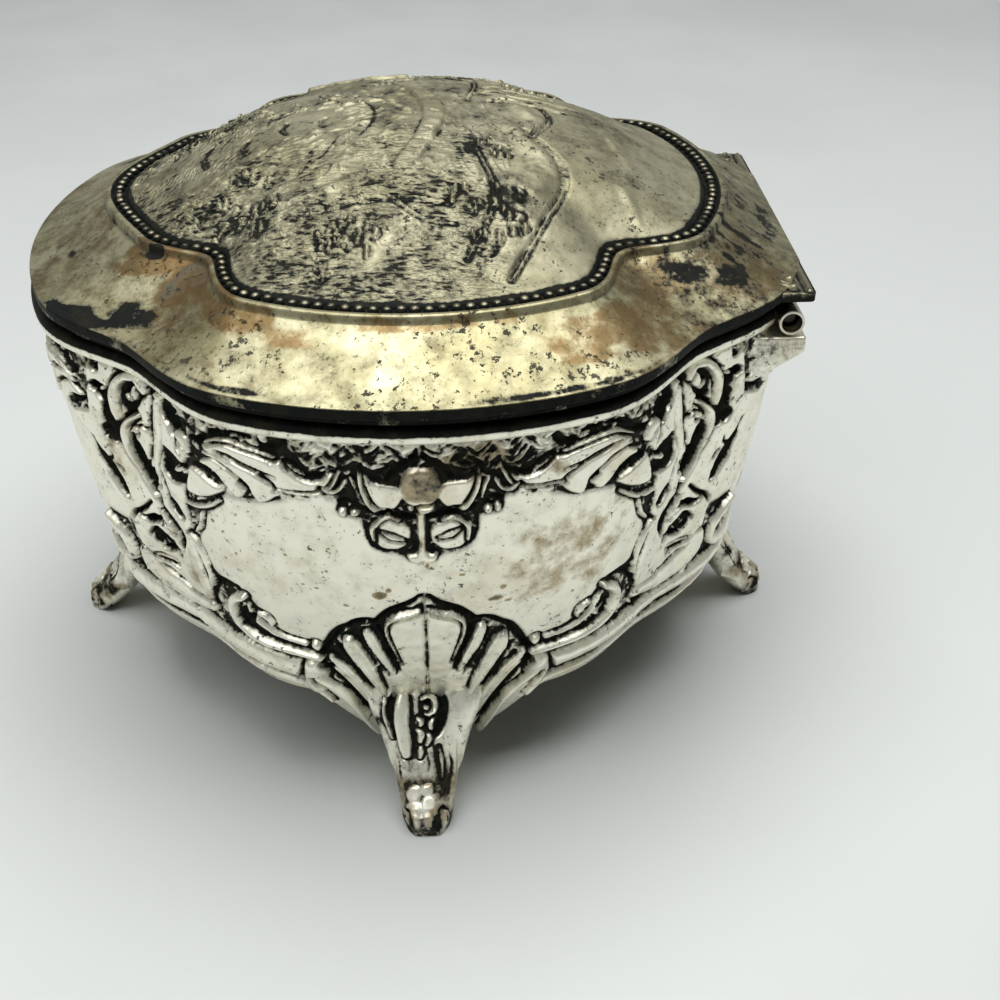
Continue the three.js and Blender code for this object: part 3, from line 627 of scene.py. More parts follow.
@dataclass(frozen=True)
class LidSizes:
    """Sizes of the lid casting, in millimetres."""

    reach: float = 42.2
    front_trim: float = 0.9
    valley: float = 2.7
    valley_spread: float = 20.0
    base: float = 49.1
    band_top: float = 50.1
    band_inset: float = 1.0
    face_top: float = 51.2
    rest_width: float = 2.9
    wall: float = 1.7
    lip_reach: float = 33.9
    lip_valley: float = 4.6
    lip_spread: float = 17.0
    lip_height: float = 56.2
    lip_step: float = 0.9
    lip_width: float = 1.0
    bead_width: float = 1.4
    bead_depth: float = 0.35
    dome_rise: float = 8.8
    dome_power: float = 6.0
    cove_curve: float = 1.15
    flange_edge: float = 40.3
    flange_half: float = 20.3
    flange_root: float = 27.0
    rebate_y: float = 36.475

    def edge_radius(self, angle: Array, inset: float) -> Array:
        """Outline of the lid, whose back lobe stops at the flange's straight edge."""
        back = np.sin(angle)
        trim = self.front_trim * np.clip(-back, 0, None) ** 4
        free = self.reach - inset - trim - notch(angle, self.valley, self.valley_spread)
        limit = np.where(back > 0.05, (self.flange_edge - inset) / np.maximum(back, 0.05), 1e3)
        return np.minimum(free, limit)

    def lip_trim(self, angle: Array) -> Array:
        """How far the lip's front lobe is drawn in, most of all beside its valleys."""
        away = np.degrees(np.arccos(np.clip(-np.sin(angle), -1, 1)))
        waist = smooth(away, 0, 30) * (1 - smooth(away, 30, 52))
        return 0.6 * (1 - smooth(away, 10, 52)) + 2.3 * waist

    def lip_radius(self, angle: Array, inset: float) -> Array:
        """Outline of the raised lip round the picture."""
        dip = notch(angle, self.lip_valley, self.lip_spread)
        return self.lip_reach - inset - self.lip_trim(angle) - dip

    def cove_height(self, share: Array | float) -> Array | float:
        """Height of the cove at a share of the way in from the rim."""
        foot = self.lip_height - self.lip_step
        return self.face_top + (foot - self.face_top) * share**self.cove_curve

    def dome_height(self, radius: Array, share: Array) -> Array:
        """Height of the dome at a radius and a share of the way out to the beads."""
        middle = (radius / self.lip_reach) ** 2
        edge = share**self.dome_power
        return self.lip_height + self.dome_rise * (1 - middle * (1 - edge) - edge)


# Relief of the body: each row is the stroke's form, height and half widths, then its corners as
# degrees from the lobe's middle and millimetres above the floor. Both halves of a lobe have it.

R, P, G, S = Form.ROUND, Form.PETAL, Form.GROOVE, Form.SOFT
T, C = Form.PLATE, Form.SCOOP
Row = tuple[Form, float, tuple[float, ...], Points]

LOBE_ROWS: tuple[Row, ...] = (
    # Leaf and its tongues under the rim
    (T, 0.3, (0.1,),
     ((33.6, 40.4), (30.8, 40), (29, 39.6), (27.8, 39.2), (30.4, 37.9), (33, 37.2), (35.4, 37.2))),
    (T, 0.3, (0.1,),
     ((31.6, 41.7), (28.6, 42.8), (27, 42.5), (25.4, 41.9), (24.4, 41.1), (23.5, 40.3),
      (24.8, 39.3), (26.2, 40), (27.4, 40.9), (29, 41.5))),
    (T, 0.38, (0.1,),
     ((30.8, 42.9), (27.8, 43.6), (25.6, 43.3), (24, 43.1), (22.6, 42.7), (21, 42.2), (19.6, 41.5),
      (19.1, 40.5), (20.4, 39.6), (22.2, 39.4), (23.1, 40.8), (24.4, 41.8), (25.8, 42.6),
      (28.2, 43))),
    (T, 0.5, (0.12,),
     ((30.8, 43.9), (28.6, 44.9), (26.2, 45.7), (24.2, 45.8), (22.4, 45.5), (21, 45.2),
      (19.6, 45.1), (18.6, 44.7), (17.4, 44.4), (16.6, 43.7), (15.6, 43), (14.6, 42.6),
      (12.8, 42.7), (11.6, 43.3), (10.3, 44.4), (10.7, 43.1), (11.8, 42.1), (13.2, 41.5),
      (15, 41.3), (17.2, 41), (18.6, 41.2), (19.4, 42.2), (21.4, 42.8), (23.2, 43.2),
      (25.2, 43.4), (27, 43.8), (29.2, 43.7))),
    (R, 0.66, (0.1, 0.15, 0.16, 0.14, 0.1),
     ((19.2, 41.3), (15.4, 41.3), (13, 41.6), (11.6, 42.4), (10.4, 44.2))),
    (R, 0.62, (0.1, 0.16, 0.16, 0.1), ((30.2, 44.2), (26.4, 45.4), (22.4, 45.2), (19, 44.6))),
    (G, 0.7, (0.08, 0.28, 0.34, 0.26, 0.07),
     ((27.8, 44), (25.6, 43.8), (23.8, 43.4), (21.8, 43), (19, 42.7))),
    (G, 0.6, (0.1, 0.15, 0.16, 0.2, 0.15, 0.08),
     ((28.4, 43), (26.8, 42.6), (25, 42), (23.2, 41.1), (22.7, 40.2), (22, 39.4))),
    (G, 0.6, (0.26, 0.2), ((24.2, 41.2), (23.5, 40.8))),
    (G, 0.75, (0.12, 0.4, 0.52, 0.36, 0.14),
     ((33.4, 40.7), (31.2, 41.1), (29.4, 40.9), (28.2, 40.4), (27.4, 39.7))),
    (G, 0.65, (0.1, 0.16, 0.2, 0.26, 0.24, 0.22, 0.1),
     ((19.2, 44.2), (17.6, 44.4), (16.4, 44), (15.4, 43.3), (14.2, 42.9), (12.6, 43.3),
      (11, 43.8))),
    (R, 0.4, (0.08, 0.12, 0.08), ((17.4, 44.1), (16.2, 43.5), (15, 42.9))),
    (G, 0.75, (0.26, 0.4, 0.24, 0.2, 0.2),
     ((31, 44.1), (28.8, 45.4), (26.2, 46.2), (24, 46.3), (22.4, 46))),
    (G, 0.75, (0.3, 0.4, 0.42, 0.3), ((21.2, 45.7), (20, 45.5), (18.6, 45.7), (17.4, 46.7))),
    (R, 0.35, (0.1, 0.16, 0.08), ((22.6, 46.1), (21.8, 45.9), (21, 45.6))),
    (R, 0.5, (0.12, 0.17, 0.17, 0.15, 0.12),
     ((12.9, 42), (11.8, 41.5), (10.6, 41.8), (9.8, 42.7), (9.2, 43.3))),
    (R, 0.45, (0.12, 0.16, 0.12), ((9.1, 43.2), (8.4, 42.2), (8, 41))),
    # Palmette
    (T, 0.34, (0.1,),
     ((7.6, 44.1), (7.6, 42.9), (7.2, 41.8), (6.6, 40.7), (5.6, 40), (4.2, 39.9), (3, 40.4),
      (2.5, 41.4), (2.9, 42.4), (4.4, 42.7), (6.4, 42.9))),
    (R, 0.66, (0.09, 0.16, 0.2, 0.2, 0.18, 0.14, 0.08),
     ((7.7, 44.3), (7.7, 42.9), (7.3, 41.7), (6.6, 40.6), (5.6, 39.9), (4.2, 39.8), (3, 39.4))),
    (R, 0.45, (0.08, 0.14, 0.08), ((7.2, 44.6), (6, 44.4), (4.4, 44.6))),
    (T, 0.6, (0.22,), ((0, 44.4), (1.3, 44.2), (2.3, 43.2), (2.5, 41.9), (1.5, 40.7), (0, 40.4))),
    (G, 0.8, (0.36, 0.42, 0.42, 0.36, 0.24),
     ((0, 46), (1.4, 45.3), (2.7, 44.6), (3.5, 43.8), (4.1, 43.1))),
    (G, 0.8, (0.22, 0.32, 0.38, 0.34, 0.3, 0.22),
     ((7.4, 39.8), (6, 39.3), (4.2, 39.3), (2.8, 39.1), (1.5, 38.7), (0.4, 38.7))),
    (T, 0.12, (0.15,),
     ((6.3, 36.8), (6.1, 37.9), (5.2, 38.6), (4, 38.8), (2.6, 38.1), (1.4, 37.2), (1.8, 35.9),
      (3.2, 35.1), (5, 35.2), (5.8, 35.8))),
    (R, 0.6, (0.1, 0.2, 0.22, 0.2, 0.16, 0.1),
     ((6.3, 36), (6.5, 37.4), (6, 38.2), (5.2, 38.7), (4, 39), (2.8, 38.5))),
    (R, 0.3, (0.1, 0.3, 0.1), ((5.2, 37.3), (4, 36.8), (2.4, 36.4))),
    (G, 0.6, (0.12, 0.18, 0.2, 0.15, 0.1),
     ((7.3, 38.7), (7.4, 37), (6.8, 35.6), (5.6, 34.9), (3.8, 34.8))),
    (R, 0.75, (0.2, 0.36, 0.36), ((1.5, 40.2), (0.7, 40), (0, 40))),
    (T, 0.62, (0.1,), ((0, 40.2), (0.42, 40), (0.34, 37.6), (0.34, 35.2), (0.9, 34.6), (2, 34.5),
                       (2, 34), (0, 33.9))),
    (G, 0.5, (0.1, 0.14, 0.13), ((2.4, 34.4), (1.5, 33.6), (0, 33.6))),
    (R, 0.5, (0.13, 0.13), ((0, 47.4), (0, 45.7))),
    (R, 0.62, (0.4, 0.4), ((10.1, 39.5), (10.2, 39.5))),
    (R, 0.62, (0.4, 0.4), ((8.7, 39.5), (8.6, 39.5))),
    (G, 0.8, (0.16, 0.34, 0.2), ((10.8, 40.2), (9.8, 40.5), (8.8, 40.2))),
    (R, 0.4, (0.15, 0.15), ((9.4, 40.4), (9.3, 40.4))),
    # Frame of the smooth cartouche
    (R, 0.35, (0.2, 0.25, 0.25, 0.2),
     ((38, 34.9), (35.5, 35.2), (33, 35.7), (30.5, 36.7), (28.5, 37.8))),
    (R, 0.35, (0.2, 0.25, 0.2), ((36.5, 31.5), (34.5, 33), (33.3, 35))),
    (G, 0.5, (0.35, 0.35, 0.3), ((37, 29), (36, 27.5), (34.5, 26.6))),
    (G, 0.8, (0.25, 0.5, 0.6, 0.6, 0.5, 0.2),
     ((29, 26.3), (32, 26.1), (34.5, 25.2), (36.5, 23.5), (38.5, 21.5), (40, 19.5))),
    # C scroll with its bead
    (G, 0.7, (0.3, 0.3, 0.25),
     ((33, 18.2), (29, 18.7), (25, 18.4), (20, 17.9), (17, 17.4), (15.5, 17.2))),
    (R, 0.95, (0.35, 0.55, 0.7, 0.7, 0.62, 0.55, 0.5, 0.38),
     ((28, 25.9), (30, 25), (31.5, 23.5), (31.5, 21.5), (29.5, 20.2), (26, 19.5), (22, 19.2),
      (17, 18.9))),
    (R, 0.5, (0.2, 0.24, 0.2),
     ((27.5, 24.6), (27, 23), (25.5, 21.8), (23, 21), (20, 20.6), (18.3, 20.5))),
    (G, 0.4, (0.18, 0.18), ((30, 21), (27, 20.4), (24, 20), (20, 19.7))),
    (G, 1.0, (0.9, 0.9), ((28.4, 22.7), (28.6, 22.5))),
    (R, 0.6, (0.55, 0.55), ((17.3, 20.4), (17.4, 20.5))),
    (R, 0.45, (0.25, 0.3, 0.2), ((26, 24), (24.5, 23.5), (24, 22.5))),
    # Rolled edge of the apron, its end block and the lip under it
    (G, 0.5, (0.5, 0.75, 0.85, 0.9, 0.9, 0.9),
     ((18.6, 14.5), (24, 14.8), (31, 14.9), (37, 14.9), (43, 14.9), (52, 14.9))),
    (R, 1.1, (1.3, 1.2, 1.15, 1.1, 1, 1),
     ((18.6, 16), (24, 16.6), (32, 16.8), (38, 16.8), (44, 16.8), (52, 16.8))),
    (R, 1.35, (1.2, 1.5, 1.2), ((18.4, 13.9), (18.6, 15.4), (18.2, 17))),
    (G, 0.7, (0.22, 0.22), ((20.3, 13.6), (20.8, 15.2), (20.4, 17))),
    (R, 0.6, (0.3, 0.3), ((52, 13.7), (30, 13.7), (22, 13.5), (19.5, 12.6), (17.4, 10.8))),
    # Scallop shell over the foot
    (T, 0.6, (0.2,),
     ((0, 26.9), (2.4, 26.5), (4.2, 26.1), (5.2, 25.4), (5.7, 24.2), (5.5, 22.7), (4.9, 21.1),
      (4.1, 19.1), (3.6, 17.4), (0, 17))),
    (R, 0.85, (0.12, 0.2, 0.21, 0.18, 0.15, 0.13, 0.1, 0.07),
     ((0, 27.1), (2.4, 26.5), (4.2, 26.1), (5.3, 25.4), (5.8, 24.2), (5.5, 22.7), (4.9, 21.1),
      (4.1, 19.1))),
    (G, 0.95, (0.26, 0.32, 0.32, 0.3, 0.28, 0.26),
     ((0.5, 28.7), (1.8, 27.9), (3.6, 27.2), (5, 26.7), (6.3, 25.8), (7.2, 25))),
    (G, 0.95, (0.26, 0.28, 0.3, 0.32, 0.38, 0.5, 0.46, 0.3),
     ((7.2, 25), (8.4, 25.1), (10, 24.8), (11.4, 24), (12.6, 23.4), (13.8, 22.3), (15, 20.9),
      (16.4, 19.2))),
    (C, 0.85, (0.46, 0.56, 0.5, 0.38, 0.22),
     ((8.4, 23.7), (8.1, 22.9), (7.3, 21.3), (6.2, 19.2), (5.2, 17.2))),
    (C, 0.95, (0.7, 0.86, 0.76, 0.6, 0.34),
     ((11.9, 22), (11.3, 20.9), (10.2, 18.8), (8.9, 16.3), (7.5, 13.2))),
    (C, 0.85, (0.28, 0.4, 0.4, 0.36, 0.28),
     ((15.4, 19), (14.4, 18.1), (12.4, 16.3), (10.6, 14), (9, 11.4))),
    (R, 0.95, (0.4, 0.5, 0.56, 0.62, 0.6),
     ((18.6, 15.4), (16, 13.7), (13.6, 11.3), (11.8, 8.4), (10, 5))),
    (G, 0.95, (0.2, 0.22, 0.2, 0.1), ((6.9, 24.4), (6.3, 22.4), (5.4, 19.9), (4.2, 17.4))),
    (G, 0.95, (0.18, 0.2, 0.18, 0.1), ((9.7, 23.3), (8.7, 21), (7.4, 18.6), (6.1, 16.2))),
    (G, 0.95, (0.2, 0.24, 0.24, 0.12), ((13.7, 20.6), (12.1, 18), (10.2, 15.2), (8.5, 12.2))),
    (G, 1.0, (0.28, 0.38, 0.4, 0.36, 0.28, 0.18),
     ((17.2, 17.5), (15.2, 15.7), (13.4, 13.4), (11.7, 11), (10.1, 8.4), (8.6, 6.3))),
)

# Stains on the lobe that faces +X: degrees from its middle, height, and half size
FLECKS: tuple[tuple[float, float, float, float], ...] = (
    (-13.6, 31.6, 0.22, 0.16), (-17.4, 29.4, 0.2, 0.1), (-15.4, 29.1, 0.22, 0.1),
    (-6.2, 28.7, 0.75, 0.42), (-4.9, 29.6, 0.3, 0.2), (-11.4, 27.1, 0.36, 0.2),
    (10.4, 27.7, 0.8, 0.27), (12.2, 27.1, 0.4, 0.14), (11.4, 29.1, 0.42, 0.3),
    (5.4, 31.4, 0.26, 0.12), (10.4, 26, 0.26, 0.12), (18.2, 24.7, 0.22, 0.18),
    (-15.2, 23.6, 0.2, 0.1), (-31.2, 34.7, 0.24, 0.2), (-26.6, 35.5, 0.2, 0.14),
    (-24, 35.7, 0.14, 0.16), (-27.6, 31.5, 0.2, 0.14), (-22.6, 36.1, 0.22, 0.14),
    (-21.2, 35.8, 0.16, 0.08), (-12.8, 38.2, 0.14, 0.14), (-13.8, 37.8, 0.12, 0.12),
    (13.8, 32.3, 0.34, 0.16), (0.6, 32.7, 0.12, 0.46), (0.8, 31.4, 0.2, 0.12),
    (0.6, 30.5, 0.12, 0.28), (-19.4, 33, 0.14, 0.1), (16, 34.6, 0.2, 0.12),
)

# Pilaster in a valley: the corners are degrees from the valley, with the lobe that has the eye
# above zero and the lobe that has the leaf below it
VALLEY_ROWS: tuple[Row, ...] = (
    (T, 0.34, (0.12,),
     ((-10, 48.3), (-7.4, 49.1), (-5.6, 48.4), (-4.6, 47.5), (-3.4, 46.7), (0.2, 47), (2.6, 45.9),
      (5.8, 46.2), (9.2, 43.8), (11.8, 42.6), (7.6, 38.4), (7.8, 35.3), (6.6, 31.1), (7.4, 27),
      (7, 21.3), (-2.4, 17.7), (-9, 17.8), (-9.8, 21.2), (-9.6, 26.8), (-11.6, 30.5), (-12.6, 35.2),
      (-12.6, 39.7), (-11.8, 44))),
    (G, 0.9, (0.41, 0.65, 0.59), ((-9.6, 48.6), (-9.6, 47.3), (-9.6, 46.2))),
    (G, 0.9, (0.29, 0.79, 1.03, 0.69), ((-11.4, 43.6), (-9.8, 43.8), (-8.8, 43.4), (-8, 42.9))),
    (R, 0.35, (0.27, 0.28), ((-8.6, 43.9), (-8.4, 43.9))),
    (G, 0.95, (0.71, 1.13, 1.12), ((-8.6, 41.6), (-8, 40.7), (-7.6, 39.6))),
    (G, 0.6, (0.93, 0.91), ((-9, 38.8), (-7.4, 38.8))),
    (G, 0.95, (0.52, 0.63, 0.54, 0.69, 1.1, 0.71),
     ((-5.8, 48.2), (-5, 47.2), (-3, 47.5), (0, 47.7), (1.8, 47.1), (2, 46.1))),
    (R, 0.75, (0.42, 0.64, 0.64, 0.53, 0.49, 0.57, 0.78, 0.58),
     ((-5.8, 41), (-6.4, 42.1), (-6.4, 43.8), (-5.2, 45.3), (-3.2, 46.3), (-1.2, 46.6),
      (-0.2, 46.2), (0.2, 45.6))),
    (G, 0.9, (0.5, 0.66, 0.81, 0.58), ((-2.8, 45.5), (-3.6, 44.2), (-3.6, 43.1), (-3, 42.5))),
    (G, 0.9, (0.56, 0.52, 0.36), ((-1, 45.7), (-0.8, 44.6), (-2.2, 43.2))),
    (P, 0.3, (0.32, 0.58, 0.25), ((-2, 45.1), (-2, 44.5), (-2.4, 43.9))),
    (R, 0.25, (0.13, 0.19, 0.14), ((-4, 44.1), (-3.4, 43.8), (-2.8, 43.5))),
    (G, 0.95, (0.24, 0.39, 0.24), ((-5.2, 41.1), (-3.6, 42.1), (-1.8, 42.9))),
    (R, 0.62, (0.24, 0.33, 0.46, 0.64, 0.66, 0.66, 0.59, 0.5),
     ((-1.6, 42.3), (-3.8, 41.3), (-5.4, 40), (-5.4, 38.6), (-4.6, 37.2), (-3.2, 36.1),
      (-2.4, 34.6), (-0.8, 33))),
    (R, 0.3, (0.1, 0.17, 0.18), ((-3, 40.9), (-1.4, 41.6), (-0.4, 41.3))),
    (R, 0.4, (0.33, 0.38), ((-3.2, 40.3), (-2.8, 40.3))),
    (G, 1, (0.45, 0.95, 0.99, 0.86, 0.62, 0.27),
     ((-4, 39.3), (-3.4, 38.5), (-2.6, 37.2), (-1.8, 35.8), (-1.4, 34.7), (-0.8, 33.5))),
    (G, 1, (0.46, 0.99, 1.18, 1.07, 0.91, 0.46),
     ((-13, 36.5), (-12.6, 35.3), (-11.2, 34.3), (-10, 33.1), (-9.2, 32), (-8.6, 31.1))),
    (G, 0.8, (0.18, 0.26, 0.25, 0.17), ((-9.4, 27.8), (-8, 29), (-5.6, 30.1), (-3, 31.8))),
    (G, 0.95, (0.35, 0.48, 0.58, 0.53), ((-6.8, 28.8), (-5, 28.8), (-2.6, 29.5), (-0.8, 29.2))),
    (G, 1, (0.29, 0.66, 1.09, 1.3, 0.68, 0.3),
     ((-1, 32.5), (0.2, 31.3), (1.4, 30.4), (2.8, 29.4), (3, 28.3), (2, 26.7))),
    (R, 0.5, (0.2, 0.3, 0.24), ((-1.2, 30.7), (-0.4, 29.5), (0.6, 28.5))),
    (G, 0.95, (0.44, 0.97, 1.03, 0.51), ((2.8, 33.7), (3.8, 33.3), (5, 32.8), (5.6, 32.4))),
    (G, 0.95, (0.6, 1.23, 1.19, 0.49), ((6.4, 45.8), (6.8, 45), (8, 44.4), (7.8, 43.2))),
    (G, 0.95, (0.38, 0.86, 0.81, 0.55), ((3.8, 40.2), (5, 39.8), (7, 39.7), (8.6, 39.7))),
    (G, 0.85, (0.82, 1.38, 0.89, 0.45), ((4.8, 39.1), (5, 38), (6.6, 37.6), (9.2, 38))),
    (G, 0.7, (0.23, 0.31, 0.22), ((10.6, 44.8), (12.4, 45.5), (14.2, 46.3))),
    (G, 0.9, (0.39, 0.5, 0.37), ((12.2, 43.8), (13.6, 44), (14.8, 44.5))),
    (R, 0.4, (0.5, 0.81, 0.73, 0.58, 0.48),
     ((3.4, 45), (3, 42.9), (2.2, 40.4), (0.6, 37.6), (0.2, 35))),
    (G, 0.5, (0.14, 0.23, 0.22, 0.12), ((2, 44.2), (1, 41.8), (0.4, 39.3), (-0.8, 37))),
    (G, 0.5, (0.17, 0.23, 0.14), ((0.2, 36.5), (0.2, 35.5), (-0.6, 34.3))),
    (G, 0.4, (0.21, 0.35, 0.23), ((2, 36.8), (2.6, 35.5), (3.2, 34.2))),
    (R, 0.45, (0.4, 0.74, 0.45), ((9, 43.3), (10.4, 43), (11.2, 42.3))),
    (G, 0.4, (0.19, 0.28, 0.2), ((8.2, 42.5), (8.4, 41.7), (9, 41.2))),
    (G, 0.35, (0.14, 0.22, 0.13), ((-9.6, 36.2), (-9.6, 35.6), (-10.2, 35.1))),
    (G, 0.3, (0.13, 0.2, 0.13), ((-8.8, 34.8), (-8, 34.5), (-7.6, 34))),
    (G, 0.7, (0.13, 0.22, 0.36, 0.3), ((-6.2, 26.4), (-4.6, 27.5), (-3, 27.9), (-2, 27.5))),
    (G, 0.45, (0.65, 1.16, 0.94), ((-4.4, 26.3), (-2.8, 26.7), (-1.2, 26.7))),
    (G, 0.8, (0.24, 0.37, 0.53, 0.52), ((-3.6, 25.3), (-2, 25.6), (0, 26.3), (0.8, 25.8))),
    (R, 0.3, (0.13, 0.23, 0.17), ((-6.8, 23.3), (-3.6, 23.9), (-1, 23.9))),
    (G, 0.45, (0.14, 0.26, 0.2), ((-6, 23), (-3.2, 23.3), (-1.2, 23))),
    (G, 0.95, (0.19, 0.58, 0.73, 0.67, 0.26),
     ((-6, 22.1), (-4.2, 21.9), (-2.4, 21.3), (-0.4, 20.7), (1.6, 20.4))),
    (R, 0.7, (0.81, 1.7, 1.66, 1.47, 1.15, 0.69),
     ((-9.4, 23.1), (-9.2, 21), (-6.8, 19.9), (-3.2, 19.4), (1, 19.2), (6.8, 20.3))),
    (G, 0.5, (0.1, 0.24, 0.16), ((5.8, 30.4), (7.6, 31.3), (9, 32.1))),
)

# Only the lobes with the eye have the smooth ridge beside the cartouche
EYE_ROWS: tuple[Row, ...] = (
    (R, 0.5, (0.3, 0.45, 0.4, 0.3), ((39.4, 30.9), (36.7, 29.4), (35.4, 26.8), (35.9, 24.4))),
)

CARTOUCHE: Points = (
    (0, 33.3), (1.8, 33.4), (3.2, 34.3), (5, 34.5), (7, 35.2), (7.8, 36.8), (8, 38.3), (8.8, 38.8),
    (10.8, 39), (11.2, 40.3), (12.8, 40.7), (16, 40.2), (19.4, 39.6), (22, 39.1), (24.8, 38.9),
    (28, 38.4), (31, 36.3), (33.5, 34), (35.5, 31.5), (37, 29.5), (37, 28.5), (34, 26.8),
    (29, 26.2), (27, 25), (24.5, 22.5), (21, 20.8), (17, 20), (15.6, 20.8), (14.2, 22.5),
    (12.8, 23.7), (11.5, 24.3), (10, 25.1), (8.4, 25.4), (7.4, 25.3), (6.4, 26.1), (5, 27),
    (3.6, 27.5), (1.9, 28.2), (0.4, 29), (0, 29),
)
BAND: Points = (
    (0, 47.2), (34, 47.2), (33.8, 45.4), (30.2, 45.7), (26, 46.7), (23.4, 46.8), (18.4, 46.6),
    (17, 46.7), (16, 45.6), (15.2, 44.5), (13.6, 43.9), (11.6, 44.1), (10, 44.8), (8.6, 45),
    (5.6, 44.8), (3, 44.9), (0.4, 46), (0, 46),
)
HATCHED_EDGE: Points = (
    (19, 41), (15.8, 40.9), (12.8, 41.4), (12.8, 40.8), (15.8, 40.2), (19, 40.3),
)
FUNNEL: Points = (
    (0, 17.7), (3.6, 17.6), (5.2, 16.4), (6.6, 13.4), (7.2, 11.4), (8, 7), (8, 5), (0, 5),
)

# Seed of the lobe that faces the photo's camera
PHOTO_SEED = 11


class LobeRelief:
    """Cast relief of one lobe, over degrees from its middle and height."""

    MM_PER_DEGREE = 0.663
    HALF = 45.0

    def __init__(self, flank: Flank, seed: int, casting: CastingSizes) -> None:
        """Draws the relief.

        Args:
            flank: Which side of the valleys the lobe has.
            seed: Start of the random numbers that make one lobe differ from the next.
            casting: Sizes of the body; not used.
        """
        self.flank, self.seed, self.casting = flank, seed, casting
        self.rng = np.random.default_rng(seed)
        reach = 49.5 * self.MM_PER_DEGREE
        self.sheet = Relief((-reach, reach), (4.0, 48.0), 0.1)
        self.lay_ground()
        self.draw_rows()
        self.scatter()
        self.sheet.finish()
        self.wear_and_shade()

    def place(self, side: float, shake: float) -> Callable[[Array], Array]:
        """Puts degrees and heights on the sheet, a little shaken as hand-cut work is."""
        shift = self.rng.normal(0, shake, 2)

        def to_sheet(points: Array) -> Array:
            moved = points * (side * self.MM_PER_DEGREE, 1)
            return moved + shift + self.rng.normal(0, shake / 2, moved.shape)

        return to_sheet

    def both_halves(self, outline: Points) -> Points:
        """An outline that starts and ends on the middle line, joined to its mirror image."""
        return outline + tuple((-x, z) for x, z in reversed(outline))

    def lay_ground(self) -> None:
        """Sinks the ground of the ornament and smooths the plain places."""
        sheet = self.sheet
        plain = self.place(1, 0)
        uneven = 0.5 + 0.5 * speckle(sheet.height.shape, 14, self.seed + 1)
        sheet.height[:] = -0.3 + 0.12 * (uneven - 0.5)
        sheet.dirt_and_shade[:] = np.clip(0.42 + 0.5 * uneven, 0, 1)
        low = smooth(sheet.v, 17.6, 16.4)[:, None] * np.ones_like(sheet.height)
        sheet.settle(low, 0, 0.15)
        self.cartouche = sheet.region(self.both_halves(CARTOUCHE), plain, 0.2)
        sheet.settle(self.cartouche, -0.05, 0.0)
        funnel = sheet.region(self.both_halves(FUNNEL), plain, 0.5)
        sheet.settle(funnel, 0.15, 0.1)
        self.band = sheet.region(self.both_halves(BAND), plain, 0.15)
        sheet.settle(self.band, -0.3, 0.85)
        self.top = smooth(sheet.v, 46.7, 47.1)[:, None] * np.ones_like(sheet.height)

    def draw_rows(self) -> None:
        """Draws the strokes of both halves and of both valleys."""
        own = EYE_ROWS if self.flank is Flank.EYE else ()
        sign = -1 if self.flank is Flank.EYE else 1
        for side in (-1.0, 1.0):
            for form, height, widths, points in LOBE_ROWS + own:
                if self.flank is Flank.LEAF and max(x for x, _ in points) < 52 and \
                        min(x for x, _ in points) > 28:
                    continue
                centred = min(x for x, _ in points) == 0
                self.sheet.draw(Stroke(points, widths, height, form),
                                self.place(side, 0.02 if centred else 0.07))
            for form, height, widths, points in VALLEY_ROWS:
                local = tuple((self.HALF + sign * x, z) for x, z in points)
                self.sheet.draw(Stroke(local, widths, height, form), self.place(side, 0.03))
        if self.flank is Flank.EYE:
            seam = Stroke(((0, 28.6), (0, 24), (0, 12)), (0.09, 0.09), 0.72, R, 0.1)
            self.sheet.draw(seam, self.place(1, 0))

    def scatter(self) -> None:
        """Hatches the band under the rim and the small grounds between the leaves."""
        def zigzag(x: float, y: float, chance: float) -> float:
            lean = 44 if math.floor(x / 1.5 + 0.3 * y) % 2 else -44
            return math.radians(lean) + 0.5 * (chance - 0.5)

        def fan(x: float, y: float, chance: float) -> float:
            return math.radians(90 + 12 * math.copysign(1, x)) + 0.7 * (chance - 0.5)

        sheet = self.sheet
        sheet.dashes(self.band, 460, (0.8, 1.6), 0.1, 0.3, zigzag, self.seed + 2)
        for side in (-1.0, 1.0):
            edge = sheet.region(HATCHED_EDGE, self.place(side, 0), 0.1)
            sheet.dashes(edge, 46, (0.5, 0.9), 0.08, 0.2, fan, self.seed + 8)
        u, v = np.meshgrid(sheet.u, sheet.v)
        x = np.abs(u) / self.MM_PER_DEGREE
        ground = (sheet.height < -0.15) & (sheet.height > -0.45) & (self.cartouche < 0.1)
        between = ground & (v > 17.5) & (v < 46.5) & (self.band < 0.5)
        sheet.dashes(between.astype(float), 420, (0.5, 1.1), 0.11, 0.2, zigzag, self.seed + 3)
        eye = (np.hypot(x - (self.HALF - 3.6 if self.flank is Flank.LEAF else self.HALF + 3.6),
                        (v - 42.9) / 1.6) < 1.0)
        sheet.dashes(eye.astype(float), 24, (0.4, 0.7), 0.08, 0.12, zigzag, self.seed + 4)

